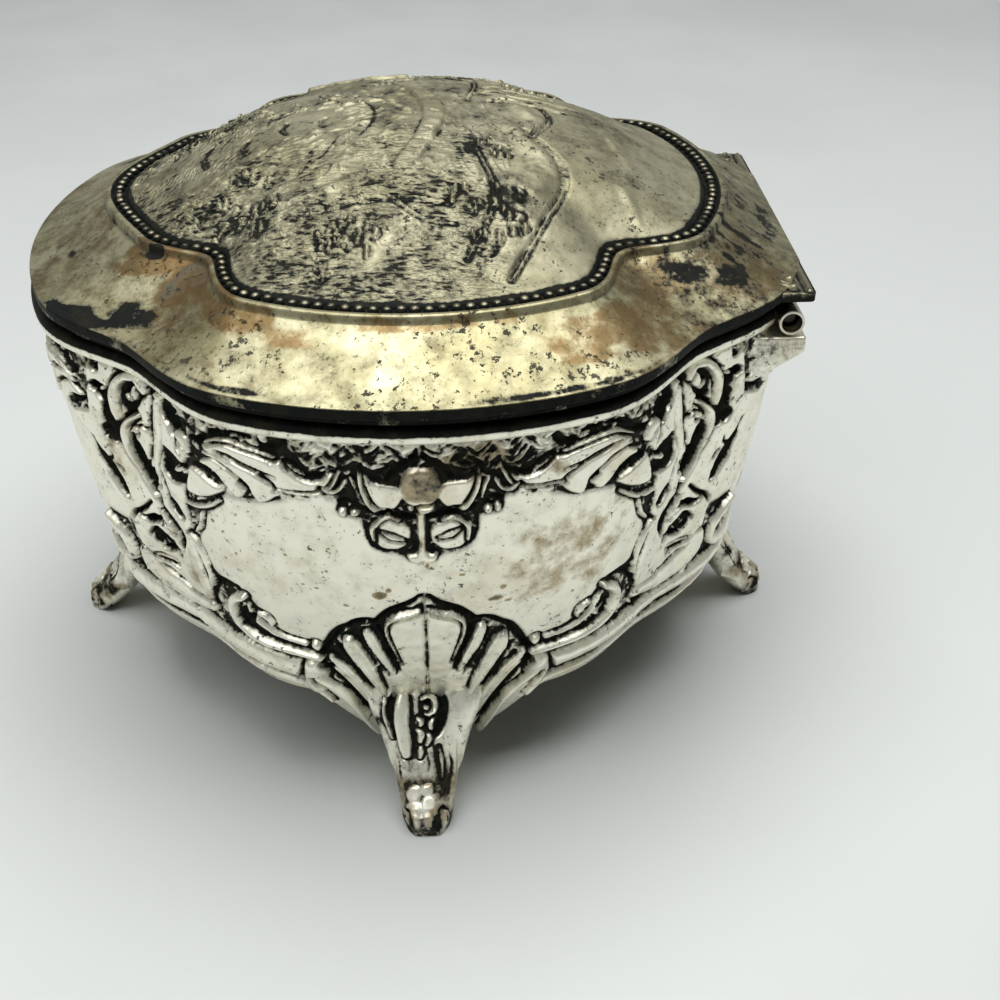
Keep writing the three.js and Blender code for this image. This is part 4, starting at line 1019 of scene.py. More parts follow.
    def wear_and_shade(self) -> None:
        """Rubs the top band smooth, keeps the cartouche clean but for its edge, and paints shade
        into the groove under the rolled edge.
        """
        sheet = self.sheet
        sheet.height *= 1 - self.top
        sheet.dirt_and_shade *= 1 - 0.75 * self.top
        core = smooth(self.cartouche, 0.9, 1.0)
        sheet.dirt_and_shade *= 1 - 0.7 * core * smooth(sheet.dirt_and_shade, 0.8, 0.5)
        waves = 0.035 * speckle(sheet.height.shape, 26, self.seed + 5)
        waves += 0.012 * speckle(sheet.height.shape, 5, self.seed + 6)
        raised = smooth(sheet.height, 0.1, 0.3) * (1 - core) * (1 - self.top)
        sheet.height += waves + 0.045 * raised * speckle(sheet.height.shape, 3.5, self.seed + 7)
        rng = np.random.default_rng(self.seed + 9)
        rows = [(x * self.MM_PER_DEGREE, z, a, b) for x, z, a, b in FLECKS]
        if self.seed != PHOTO_SEED:
            rows = [(x * rng.uniform(0.7, 1.25), z + rng.uniform(-2.4, 2.4), a, b)
                    for x, z, a, b in rows]
        sheet.flecks(rows, 0.66, self.seed + 10)
        ornament = (1 - core) * (1 - self.top)
        sheet.tint = np.maximum(sheet.tint, 0.22 * ornament * smooth(
            speckle(sheet.height.shape, 30, self.seed + 12), 0.35, 1.1))
        sheet.tint = np.maximum(sheet.tint, 0.24 * self.band * (1 - self.top))
        sheet.dirt_and_shade = np.maximum(sheet.dirt_and_shade, 0.3 * self.band * (1 - self.top))
        # Painted shade, with patina, in the groove under the rolled edge of the apron, on the
        # lobe's sides.
        side = np.abs(sheet.u)[None, :] / self.MM_PER_DEGREE
        under = smooth(side, 18, 22) * smooth(np.abs(sheet.v[:, None] - 14.8), 0.85, 0.65)
        sheet.dirt_and_shade = np.maximum(sheet.dirt_and_shade, under)
        if self.seed == PHOTO_SEED:
            u, v = np.meshgrid(sheet.u, sheet.v)
            stain = np.exp(-((u - 5.6) / 5) ** 2 - ((v - 44.6) / 2.6) ** 2)
            stain += np.exp(-(u / 1.9) ** 4 - ((v - 42.4) / 1.9) ** 4)
            rough = 0.3 * speckle(sheet.height.shape, 9, 77)
            patch = smooth(stain + rough, 0.35, 0.8) * ornament
            sheet.tint = np.maximum(sheet.tint, 0.62 * patch)
            worn = np.exp(-((u - 14) / 8) ** 4 - ((v - 32) / 7) ** 4) + 0.22 * rough
            sheet.tint = np.maximum(sheet.tint, 0.3 * core * smooth(worn, 0.3, 1.1))
            sheet.dirt_and_shade = np.maximum(sheet.dirt_and_shade, 0.4 * patch)

    def at(self, degrees: Array, height: Array) -> tuple[Array, Array, Array]:
        """Relief, dirt with painted shade, and stain at degrees from the middle and a height above
        the floor.
        """
        return self.sheet.at(degrees * self.MM_PER_DEGREE, height)


# Body


@dataclass
class BodyCasting:
    """The casting that holds everything: its four lobes of wall, without the feet and the hinge's
    bracket, which are built on their own.
    """

    sizes: CastingSizes = field(default_factory=CastingSizes)
    columns: int = 215
    outer_rows: int = 298
    rim_rows: int = 11
    inner_heights: tuple[float, ...] = (48.8, 46.4, 44.24, 38.27, 27.74, 20.0, 13.7)
    seam_blend: float = 0.7
    middles: tuple[tuple[str, float, Flank], ...] = (
        ("right", 0, Flank.EYE), ("back", 90, Flank.LEAF), ("left", 180, Flank.EYE),
        ("front", 270, Flank.LEAF))

    def build(self, finish: bpy.types.Material) -> None:
        """Makes the four lobes.

        Args:
            finish: Silver plate.
        """
        reliefs = [LobeRelief(flank, PHOTO_SEED + i, self.sizes)
                   for i, (_, _, flank) in enumerate(self.middles)]
        heights = np.linspace(4.5, 47.5, 400)
        seam = np.mean([r.at(np.full_like(heights, 45), heights) for r in reliefs], axis=0)
        for (name, middle, _), relief in zip(self.middles, reliefs):
            for half, start in ((1, -45), (2, 0)):
                piece = self.lobe(f"body_lobe_{name}_{half}", math.radians(middle), start, relief,
                                  heights, seam)
                settle_piece(piece, Body.BOX, Slot.SILVER, finish, "box_body")

    def lobe(self, name: str, middle: float, start: float, relief: LobeRelief,
             seam_heights: Array, seam: Array) -> bpy.types.Object:
        """Half a lobe of the wall as a closed shell.

        Args:
            name: Name of the piece.
            middle: Angle of the lobe's middle.
            start: Degrees from the middle at which this half starts.
            relief: What stands on it.
            seam_heights: Heights of the profile that neighbours share.
            seam: Relief, dirt with painted shade, and stain on that profile.

        Returns:
            The half lobe.
        """
        s = self.sizes
        local = np.linspace(start, start + 45, self.columns)
        angle = middle + np.radians(local)
        edge = s.edge(angle)
        bead_base = s.rim_height - s.rim_bead
        t = np.linspace(0, 1, self.outer_rows)[:, None]
        z = edge + (bead_base - edge) * t
        outside = cylinder_points(angle + 0 * z, s.wall_radius(angle, z), z)
        across = np.gradient(outside, axis=1)
        up = np.gradient(outside, axis=0)
        normal = np.cross(across, up)
        normal /= np.linalg.norm(normal, axis=-1, keepdims=True)
        share = smooth(45 - np.abs(local), 0, self.seam_blend) + 0 * z
        rise, dirt_and_shade, tint = (np.interp(z, seam_heights, on_seam) * (1 - share) + value * share
                            for on_seam, value in zip(seam, relief.at(local + 0 * z, z)))
        outside = outside + normal * rise[..., None]
        crest = np.linspace(0, 1, self.rim_rows)[1:, None]
        reach = s.neck_reach + (s.rim_reach - s.neck_reach) * np.sin(np.pi * crest) ** 0.6
        rim_z = bead_base + s.rim_bead * (0.5 - 0.5 * np.cos(np.pi * crest))
        rim = cylinder_points(angle + 0 * crest, s.rim_radius(angle, reach), rim_z)
        if abs(math.sin(middle) - 1) < 0.01:
            outside, rim = self.make_room(outside), self.make_room(rim)
        inside = [cylinder_points(angle, s.well_radius(angle, np.full_like(angle, h)),
                                  np.full_like(angle, h)) for h in self.inner_heights]
        under = np.maximum(edge, s.skirt_height) - s.ledge
        for height, depth in ((s.ledge_height + 0 * edge, s.wall + s.ledge),
                              (under, s.wall + s.ledge), (edge, s.wall)):
            inside.append(cylinder_points(angle, s.wall_radius(angle, height) - depth, height))
        points = np.concatenate([outside, rim, np.stack(inside)])
        rows, cols = points.shape[:2]
        soot_and_shade, stain = np.full((rows, cols), 0.35), np.zeros((rows, cols))
        soot_and_shade[: self.outer_rows], stain[: self.outer_rows] = dirt_and_shade, tint
        rim_end = self.outer_rows + self.rim_rows - 1
        # The upper half of the rim is painted dark: painted shade under the lid's edge.
        soot_and_shade[self.outer_rows : rim_end] = 0.1 + 0.8 * smooth(crest, 0.5, 0.62)
        ends = np.arange(rows)[None, :] * cols
        faces = [loft_faces(rows, cols, True, False), ends, ends[:, ::-1] + cols - 1]
        piece = make_mesh(name, points.reshape(-1, 3), faces, {"dirt_and_shade": soot_and_shade, "tint": stain})
        self.sharpen_ends(piece, cols)
        return piece

    def make_room(self, points: Array) -> Array:
        """Keeps the back lobe clear of the ledge that the hinge lies on."""
        s = self.sizes
        x, y, z = points[..., 0], points[..., 1], points[..., 2]
        lip = s.shelf_z - s.shelf_lip
        limit = np.where(z >= s.shelf_z, s.rebate_y, s.bracket_end + np.clip(lip - z, 0, None))
        held = (np.abs(x) <= s.flange_half + 0.3) & (y > limit)
        out = points.copy()
        out[..., 1] = np.where(held, limit, y)
        return out

    def sharpen_ends(self, piece: bpy.types.Object, cols: int) -> None:
        """Keeps the shading of the wall apart from that of its two closed ends."""
        mesh = piece.data
        pairs = np.zeros(len(mesh.edges) * 2, np.int32)
        mesh.edges.foreach_get("vertices", pairs)
        column = pairs.reshape(-1, 2) % cols
        ends = (column[:, 0] == column[:, 1]) & ((column[:, 0] == 0) | (column[:, 0] == cols - 1))
        layer = mesh.attributes.new("sharp_edge", "BOOLEAN", "EDGE")
        layer.data.foreach_set("value", ends)


FOOT_ROWS: tuple[Row, ...] = (
    # Across the leg and up it, in millimetres
    (G, 0.6, (0.7, 0.9, 0.9, 0.6), ((0.1, 12.6), (0.2, 11.4), (0.1, 10.2), (-0.2, 9))),
    (G, 0.85, (0.3, 0.45, 0.5, 0.45, 0.35, 0.32, 0.4, 0.55, 0.55, 0.45, 0.25),
     ((-3.1, 8.9), (-3.6, 10.4), (-3.7, 11.7), (-3.2, 12.7), (-2.2, 13.3), (0, 13.5), (1.4, 13.1),
      (2, 12), (1.8, 10.6), (1.3, 9.5), (0.6, 8.8))),
    (R, 0.3, (0.12, 0.18, 0.18, 0.1), ((-4.3, 12.7), (-4.4, 11.2), (-4, 9.9), (-3.6, 8.7))),
    (R, 0.55, (0.6, 0.78, 0.8, 0.74, 0.66, 0.5),
     ((-2.4, 12.8), (-2.5, 11.9), (-2.6, 10.7), (-2.45, 9.4), (-2.3, 8.2), (-2.1, 7.2))),
    (G, 0.5, (0.14, 0.18, 0.16, 0.1), ((-1.4, 12.8), (-1.4, 11.2), (-1.2, 9.4), (-1.2, 6.8))),
    (R, 0.55, (0.16, 0.24, 0.26, 0.24, 0.2, 0.16),
     ((-0.4, 12.5), (0.4, 12.8), (1, 12.3), (1, 11.6), (0.4, 11.2), (-0.1, 11.4))),
    (R, 0.5, (0.2, 0.2), ((0, 12), (0.2, 11.9))),
    (R, 0.5, (0.16, 0.3, 0.2), ((-0.8, 10.9), (-0.4, 10.5), (-0.6, 10))),
    (R, 0.45, (0.14, 0.26, 0.18), ((0.9, 10.9), (0.5, 10.3), (0.6, 9.8))),
    (R, 0.45, (0.2, 0.42, 0.3), ((-0.8, 9.7), (-0.4, 9.3), (-0.5, 8.6))),
    (R, 0.4, (0.16, 0.3, 0.2), ((0.3, 9.4), (0.4, 8.9), (0.1, 8.3))),
    (R, 0.35, (0.2, 0.34, 0.2), ((-0.5, 8), (-0.5, 7.5), (-0.6, 6.9))),
    (G, 0.2, (0.05, 0.1, 0.05), ((0.8, 8.6), (1, 6.6), (1.4, 4.4))),
    (G, 0.24, (0.05, 0.12, 0.12, 0.05), ((2.3, 7.4), (2.6, 6.2), (2.5, 5), (2.1, 3.8))),
    (G, 0.2, (0.05, 0.1, 0.05), ((0.1, 7.6), (0.3, 6.2), (0.2, 5.2))),
    (G, 0.16, (0.04, 0.08, 0.04), ((-3.3, 8), (-2.9, 6.2), (-2.7, 4.6))),
    (R, 0.3, (0.1, 0.16, 0.1), ((1.4, 8), (1.7, 6.4), (1.7, 4.6))),
    # Worn spot above the toe, in two halves
    (T, 0.3, (0.1,), ((-2.1, 3.2), (-1.8, 3.9), (-0.9, 3.9), (-0.8, 2.7), (-1.7, 2.6))),
    (T, 0.28, (0.1,), ((-2.1, 2.4), (-0.9, 2.5), (-0.8, 1.5), (-2.2, 1.4))),
    (T, 0.3, (0.1,), ((-0.5, 3.9), (0.5, 4), (0.4, 3.2), (-0.4, 3))),
    (T, 0.28, (0.1,), ((-0.5, 2.8), (0.7, 2.9), (0.8, 1.4), (-0.5, 1.5))),
    # Knobs of the toe
    (R, 0.4, (0.4, 0.35), ((-2, 0.9), (-1.5, 0.6))),
    (R, 0.45, (0.5, 0.4), ((-0.5, 0.5), (0, 0.2))),
    (R, 0.4, (0.35, 0.4), ((0.9, 0.9), (1.3, 0.6))),
    (R, 0.4, (0.3, 0.35, 0.2), ((1.7, 1.7), (1.9, 1), (1.2, 0))),
    (R, 0.35, (0.3, 0.2), ((-2.2, 1.6), (-2.4, 0.8))),
)


@dataclass
class CabrioleFoot:
    """A bowed leg that swells into the shell above it and turns out into a toe."""

    root_reach: float = 34.2
    reach: float = 43.6
    root_height: float = 13.9
    sole: float = 0.6
    width: float = 5.5
    root_width: float = 12.6
    depth: float = 3.9
    toe_length: float = 7.0
    rows: int = 170
    sides: int = 136
    stations: tuple[tuple[float, float, float, float], ...] = (
        (0, 1, 1, 0.5), (0.1, 0.86, 0.86, 0.85), (0.22, 0.66, 0.56, 0.98), (0.36, 0.45, 0.3, 1),
        (0.55, 0.27, 0.08, 1), (0.74, 0.155, 0, 0.95), (0.88, 0.12, -0.02, 0.78),
        (0.95, 0.115, -0.17, 0.45))

    def build(self, name: str, middle: float, seed: int, finish: bpy.types.Material) -> None:
        """Makes one foot.

        Args:
            name: Name of the piece.
            middle: Angle of the lobe that it carries.
            seed: Start of the random numbers.
            finish: Silver plate.
        """
        path, share = smooth_path(np.array(self.stations), 0.004)
        even = np.linspace(0, share[-1], self.rows)
        out, up, wide, deep = (np.interp(even, share, path[:, i]) for i in range(4))
        toe = np.sqrt(np.clip(1 - smooth(even, 0.93, 1.0) ** 2 * 0.55, 0, 1))
        r = self.root_reach + (self.reach - self.root_reach) * out
        z = self.root_height * up
        along = np.stack([np.gradient(r), np.gradient(z)], -1)
        along /= np.linalg.norm(along, axis=1, keepdims=True)
        half_w = (self.width + (self.root_width - self.width) * wide) / 2 * toe
        half_d = self.depth * deep / 2 * toe
        turn = np.linspace(0, 2 * np.pi, self.sides, endpoint=False)
        sheet = self.relief(seed)
        x = half_w[:, None] * np.cos(turn)
        through = half_d[:, None] * np.sin(turn)
        low = z[:, None] - self.sole + 0 * x
        rise, dirt_and_shade, tint = sheet.at(x, low + 0.3)
        outward = np.sin(turn)[None, :]
        front = smooth(outward, -0.25, 0.35)
        rise = rise * front * smooth(half_w, 0.8, 1.6)[:, None]
        normal_w = np.cos(turn) * half_d[:, None]
        normal_d = np.sin(turn) * half_w[:, None]
        length = np.hypot(normal_w, normal_d)
        x = x + rise * normal_w / length
        through = through + rise * normal_d / length
        radius = r[:, None] - along[:, 1:2] * through
        height = z[:, None] + along[:, 0:1] * through - self.sole
        nose = 1 - np.sqrt(np.clip(1 - (x / (0.6 * self.width)) ** 2, 0.02, 1))
        radius = np.minimum(radius, self.reach - 0.1 - self.toe_length * nose)
        height = np.maximum(height, 0)
        c, s = math.cos(middle), math.sin(middle)
        points = np.stack([radius * c - x * s, radius * s + x * c, height], -1)
        # Darker towards the sole; the back of the leg keeps an even share.
        dirt_and_shade = 0.25 + (dirt_and_shade - 0.25) * front + 0.3 * smooth(height, 2.2, 0.6)
        piece = make_mesh(name, points.reshape(-1, 3), capped_faces(self.rows, self.sides),
                          {"dirt_and_shade": np.clip(dirt_and_shade, 0, 1), "tint": tint * front})
        settle_piece(piece, Body.BOX, Slot.SILVER, finish, "box_body")

    def relief(self, seed: int) -> Relief:
        """Leaf, curl and ridges on the front of a leg."""
        sheet = Relief((-7.6, 7.6), (-0.5, 15), 0.08)
        uneven = speckle(sheet.height.shape, 10, seed)
        sheet.dirt_and_shade[:] = np.clip(0.3 + 0.28 * uneven, 0, 1)
        brown = smooth(sheet.v, 5.6, 4.2)[:, None] * np.ones_like(sheet.height)
        brown = np.clip(brown * (0.9 + 0.35 * uneven), 0, 1)
        sheet.dirt_and_shade = np.maximum(sheet.dirt_and_shade, 0.62 * brown * smooth(np.abs(sheet.u), 3, 2.2)[None, :])
        rng = np.random.default_rng(seed)
        for form, height, widths, points in FOOT_ROWS:
            shift = rng.normal(0, 0.05, 2)
            sheet.draw(Stroke(points, widths, height, form, 0.22), lambda p: p + shift)
        sheet.tint = np.maximum(sheet.tint, 0.5 * brown)
        away = np.hypot((sheet.u[None, :] + 0.7) / 1.6, (sheet.v[:, None] - 2.7) / 1.4)
        spot = smooth(away, 1.1, 0.9)
        sheet.tint = sheet.tint * (1 - spot) + 0.2 * spot
        sheet.height += 0.035 * speckle(sheet.height.shape, 7, seed + 1)
        sheet.finish(0.06)
        return sheet


@dataclass
class HingeBracket:
    """Rough ledge behind the wall that carries the hinge's tubes."""

    half: float = 20.3
    root: float = 30.0
    sizes: CastingSizes = field(default_factory=CastingSizes)

    def build(self, finish: bpy.types.Material) -> None:
        """Makes the bracket from a block whose lower edge is drawn in.

        Args:
            finish: Silver plate.
        """
        s = self.sizes
        lip = s.shelf_z - s.shelf_lip
        low = lip - 3.4
        deselect()
        middle = ((self.root + s.bracket_end) / 2 * MM, (low + s.shelf_z) / 2 * MM)
        bpy.ops.mesh.primitive_cube_add(size=1, location=(0, *middle))
        block = bpy.context.object
        block.name = "hinge_bracket"
        block.scale = (2 * self.half * MM, (s.bracket_end - self.root) * MM, (s.shelf_z - low) * MM)
        bake_place(block)
        bpy.context.view_layer.objects.active = block
        block.select_set(True)
        bpy.ops.object.mode_set(mode="EDIT")
        bpy.ops.mesh.bisect(plane_co=(0, 0, lip * MM), plane_no=(0, 0, 1), use_fill=False)
        bpy.ops.object.mode_set(mode="OBJECT")
        for vertex in block.data.vertices:
            if vertex.co.z < (low + 0.1) * MM and vertex.co.y > (self.root + 1) * MM:
                vertex.co.y = (s.bracket_end - 5.2) * MM
        bpy.ops.object.mode_set(mode="EDIT")
        bpy.ops.mesh.select_all(action="SELECT")
        bpy.ops.mesh.subdivide(number_cuts=3)
        bpy.ops.object.mode_set(mode="OBJECT")
        soften(block, 0.28, 3)
        shade_by_angle(block, 40)
        soil(block, 0.38)
        settle_piece(block, Body.BOX, Slot.SILVER, finish, "box_body")


# Lid

PICTURE_ROWS: tuple[Row, ...] = (
    # A plain country view, in millimetres from the lid's middle, with the sky towards the hinge
    (S, 0.45, (2.0, 3.0, 3.0, 2.0), ((-27, 7), (-18, 12), (-8, 9), (1, 12.5))),
    (S, 0.4, (1.8, 2.6, 2.6, 1.8), ((4, 10), (12, 13), (20, 10.5), (27, 8))),
    (R, 0.4, (0.2, 0.3, 0.3, 0.25, 0.2), ((-27, 8.5), (-19, 14), (-9, 11), (0, 14.6), (7, 12))),
    (R, 0.35, (0.2, 0.28, 0.25, 0.2), ((5, 11.6), (12, 15.2), (20, 12.8), (28, 9))),
    (R, 0.3, (0.2, 0.25, 0.2), ((-24, 4.6), (-12, 7), (-2, 6))),
    (R, 0.3, (0.2, 0.25, 0.2), ((10, 6.4), (18, 8), (26, 5))),
    # Arched bridge over a stream
    (G, 0.35, (0.3, 0.4, 0.4, 0.3),
     ((-2.6, -5.4), (0, -4.3), (2.6, -3.9), (5.2, -4.3), (7.6, -5.4))),
    (T, 0.7, (0.3,),
     ((-9, -1.8), (-3, 0.4), (2.6, 1.3), (8.2, 0.4), (14, -1.8), (14, 0), (8.2, 2.3),
      (2.6, 3.4), (-3, 2.3), (-9, 0))),
    (G, 0.4, (0.3, 0.3), ((-6.4, -0.2), (-6.2, 0.6))), (G, 0.4, (0.3, 0.3), ((-2, 1.3), (-1.9, 2))),
    (G, 0.4, (0.3, 0.3), ((2.6, 2), (2.6, 2.8))), (G, 0.4, (0.3, 0.3), ((7, 1.4), (7.1, 2.1))),
    (G, 0.4, (0.3, 0.3), ((11, 0), (11.1, 0.8))),
    (G, 0.3, (0.12, 0.12), ((-4.4, -2.6), (-4.6, -6))),
    (G, 0.3, (0.12, 0.12), ((9.6, -2.6), (9.8, -6))),
    (G, 0.3, (0.12, 0.12), ((-6.8, -2), (-3, -3.2))),
    (G, 0.3, (0.12, 0.12), ((8.4, -3.2), (12, -2))),
    (G, 0.2, (0.2, 0.35, 0.2), ((-2.2, -7.4), (-5.4, -9.6), (-8.6, -10.4))),
    (G, 0.2, (0.2, 0.35, 0.2), ((7, -7.4), (10.6, -9), (13.2, -11.4))),
    (R, 0.25, (0.1, 0.18, 0.1), ((1.4, -9), (2.8, -9.6), (4, -9.1))),
    (R, 0.25, (0.1, 0.18, 0.1), ((1, -13), (2.6, -13.6), (4, -13))),
    (R, 0.25, (0.1, 0.18, 0.1), ((3, -17), (4.6, -17.6), (6.2, -17))),
    (R, 0.25, (0.1, 0.18, 0.1), ((1.2, -21.4), (3.4, -22), (5.6, -21.4))),
    # Trunks and boughs
    (R, 0.85, (0.9, 0.7, 0.6, 0.45), ((-17.5, -12), (-16.6, -4), (-17, 3), (-16, 10))),
    (R, 0.7, (0.4, 0.32, 0.2), ((-16.8, 2), (-13.4, 6), (-12, 11))),
    (R, 0.7, (0.4, 0.32, 0.2), ((-16.9, 0), (-20, 4), (-21.4, 9))),
    (R, 0.7, (0.6, 0.5, 0.35), ((19, -8), (18.6, -3), (19.4, 3))),
    (R, 0.6, (0.3, 0.25, 0.18), ((18.7, -2), (21.4, 1), (22, 4))),
    (P, 0.6, (0.4, 0.95, 0.85, 0.3), ((-5.4, 8), (-5.4, 11), (-5.3, 14), (-5.2, 18))),
    (P, 0.6, (0.4, 0.85, 0.75, 0.3), ((-2.8, 8), (-2.8, 10.6), (-2.8, 13), (-2.7, 16.4))),
    (P, 0.55, (0.4, 0.75, 0.65, 0.3), ((-8, 8), (-8, 10.4), (-8, 12.6), (-7.9, 15.4))),
    # Clouds
    (S, 0.22, (1.0, 1.6, 1.8, 1.0), ((2, 21), (7, 22.6), (12, 21.6), (16, 22.4))),
    (S, 0.2, (0.8, 1.3, 0.8), ((-8, 24.5), (-3, 25.6), (2, 25))),
    # Path and fence
    (R, 0.45, (0.2, 0.25, 0.2), ((-13, -1), (-9, -2.4))),
    (R, 0.45, (0.2, 0.25, 0.2), ((-13, -2.6), (-9, -4))),
    (R, 0.5, (0.25, 0.3), ((-12.6, 0.2), (-12.6, -4.6))),
    (R, 0.5, (0.25, 0.3), ((-10, -0.8), (-10, -5.4))),
    (S, 0.3, (0.9, 1.2, 0.9), ((-9.4, -6), (-12, -12), (-9, -19))),
    (S, 0.3, (0.9, 1.2, 0.9), ((14, -3), (17, -11), (14.6, -18))),
)

# Dark patches and brown stains of the lid's border: degrees, share of the way in from the rim, half
# sizes of both, amount
Patch = tuple[float, float, float, float, float]
WEAR_PATCHES: tuple[Patch, ...] = (
    (-56, 0.08, 9, 0.24, 0.9), (-50, 0.26, 4.5, 0.2, 0.78), (-46.5, 0.6, 1.5, 0.4, 0.42),
    (-57, 0.99, 1.6, 0.07, 0.9), (53, 0.68, 4, 0.2, 0.7), (58, 0.5, 4.5, 0.22, 0.66),
    (64, 0.62, 4, 0.16, 0.55), (50, 0.4, 3, 0.2, 0.5), (84, 0.3, 9, 0.16, 0.62),
    (-73, 0.45, 1.6, 0.07, 0.7), (-66, 0.4, 1.4, 0.06, 0.7), (-24, 0.08, 9, 0.05, 0.7),
    (20, 0.06, 12, 0.05, 0.7), (150, 0.2, 8, 0.14, 0.9), (138, 0.6, 3, 0.2, 0.8),
    (232, 0.2, 9, 0.16, 0.9), (224, 0.7, 3, 0.2, 0.8), (196, 0.1, 14, 0.06, 0.8),
    (61, 0.74, 0.9, 0.26, 0.75), (65.5, 0.8, 0.8, 0.3, 0.75), (70, 0.72, 0.9, 0.34, 0.8),
    (75, 0.78, 0.8, 0.3, 0.7), (67, 0.42, 0.8, 0.2, 0.7), (36, 0.5, 15, 0.55, 0.22),
)
STAINED_PATCHES: tuple[Patch, ...] = (
    (-58, 0.86, 8, 0.18, 0.6), (-46, 0.75, 4, 0.3, 0.75), (-32, 0.84, 9, 0.18, 0.62),
    (-20, 0.74, 5, 0.14, 0.4), (4, 0.97, 10, 0.05, 0.4), (62, 0.82, 9, 0.2, 0.4),
    (48, 0.9, 6, 0.14, 0.4), (122, 0.8, 9, 0.2, 0.5), (150, 0.75, 9, 0.2, 0.45),
    (206, 0.8, 12, 0.2, 0.5), (226, 0.7, 6, 0.3, 0.6), (-80, 0.9, 8, 0.1, 0.35),
    (38, 0.55, 15, 0.6, 0.46), (60, 0.5, 11, 0.5, 0.42), (-42, 0.5, 9, 0.4, 0.28),
)

# Each row: place, half width of the clump, number of its tufts, size of a tuft
CLUMPS: tuple[tuple[float, float, float, int, float], ...] = (
    (-16.5, 14.5, 7.2, 46, 1.25), (-21.5, 9.5, 4.0, 18, 1.1), (20, 7.2, 4.8, 26, 1.1),
    (-23.5, -6, 4.4, 22, 1.05), (-14, -18, 5.2, 28, 1.1), (15.5, -17.5, 5.4, 30, 1.1),
    (24.5, -6.5, 3.8, 18, 1.0), (-5.5, -25, 3.6, 16, 1.0), (10, 8.2, 2.2, 9, 0.8),
)


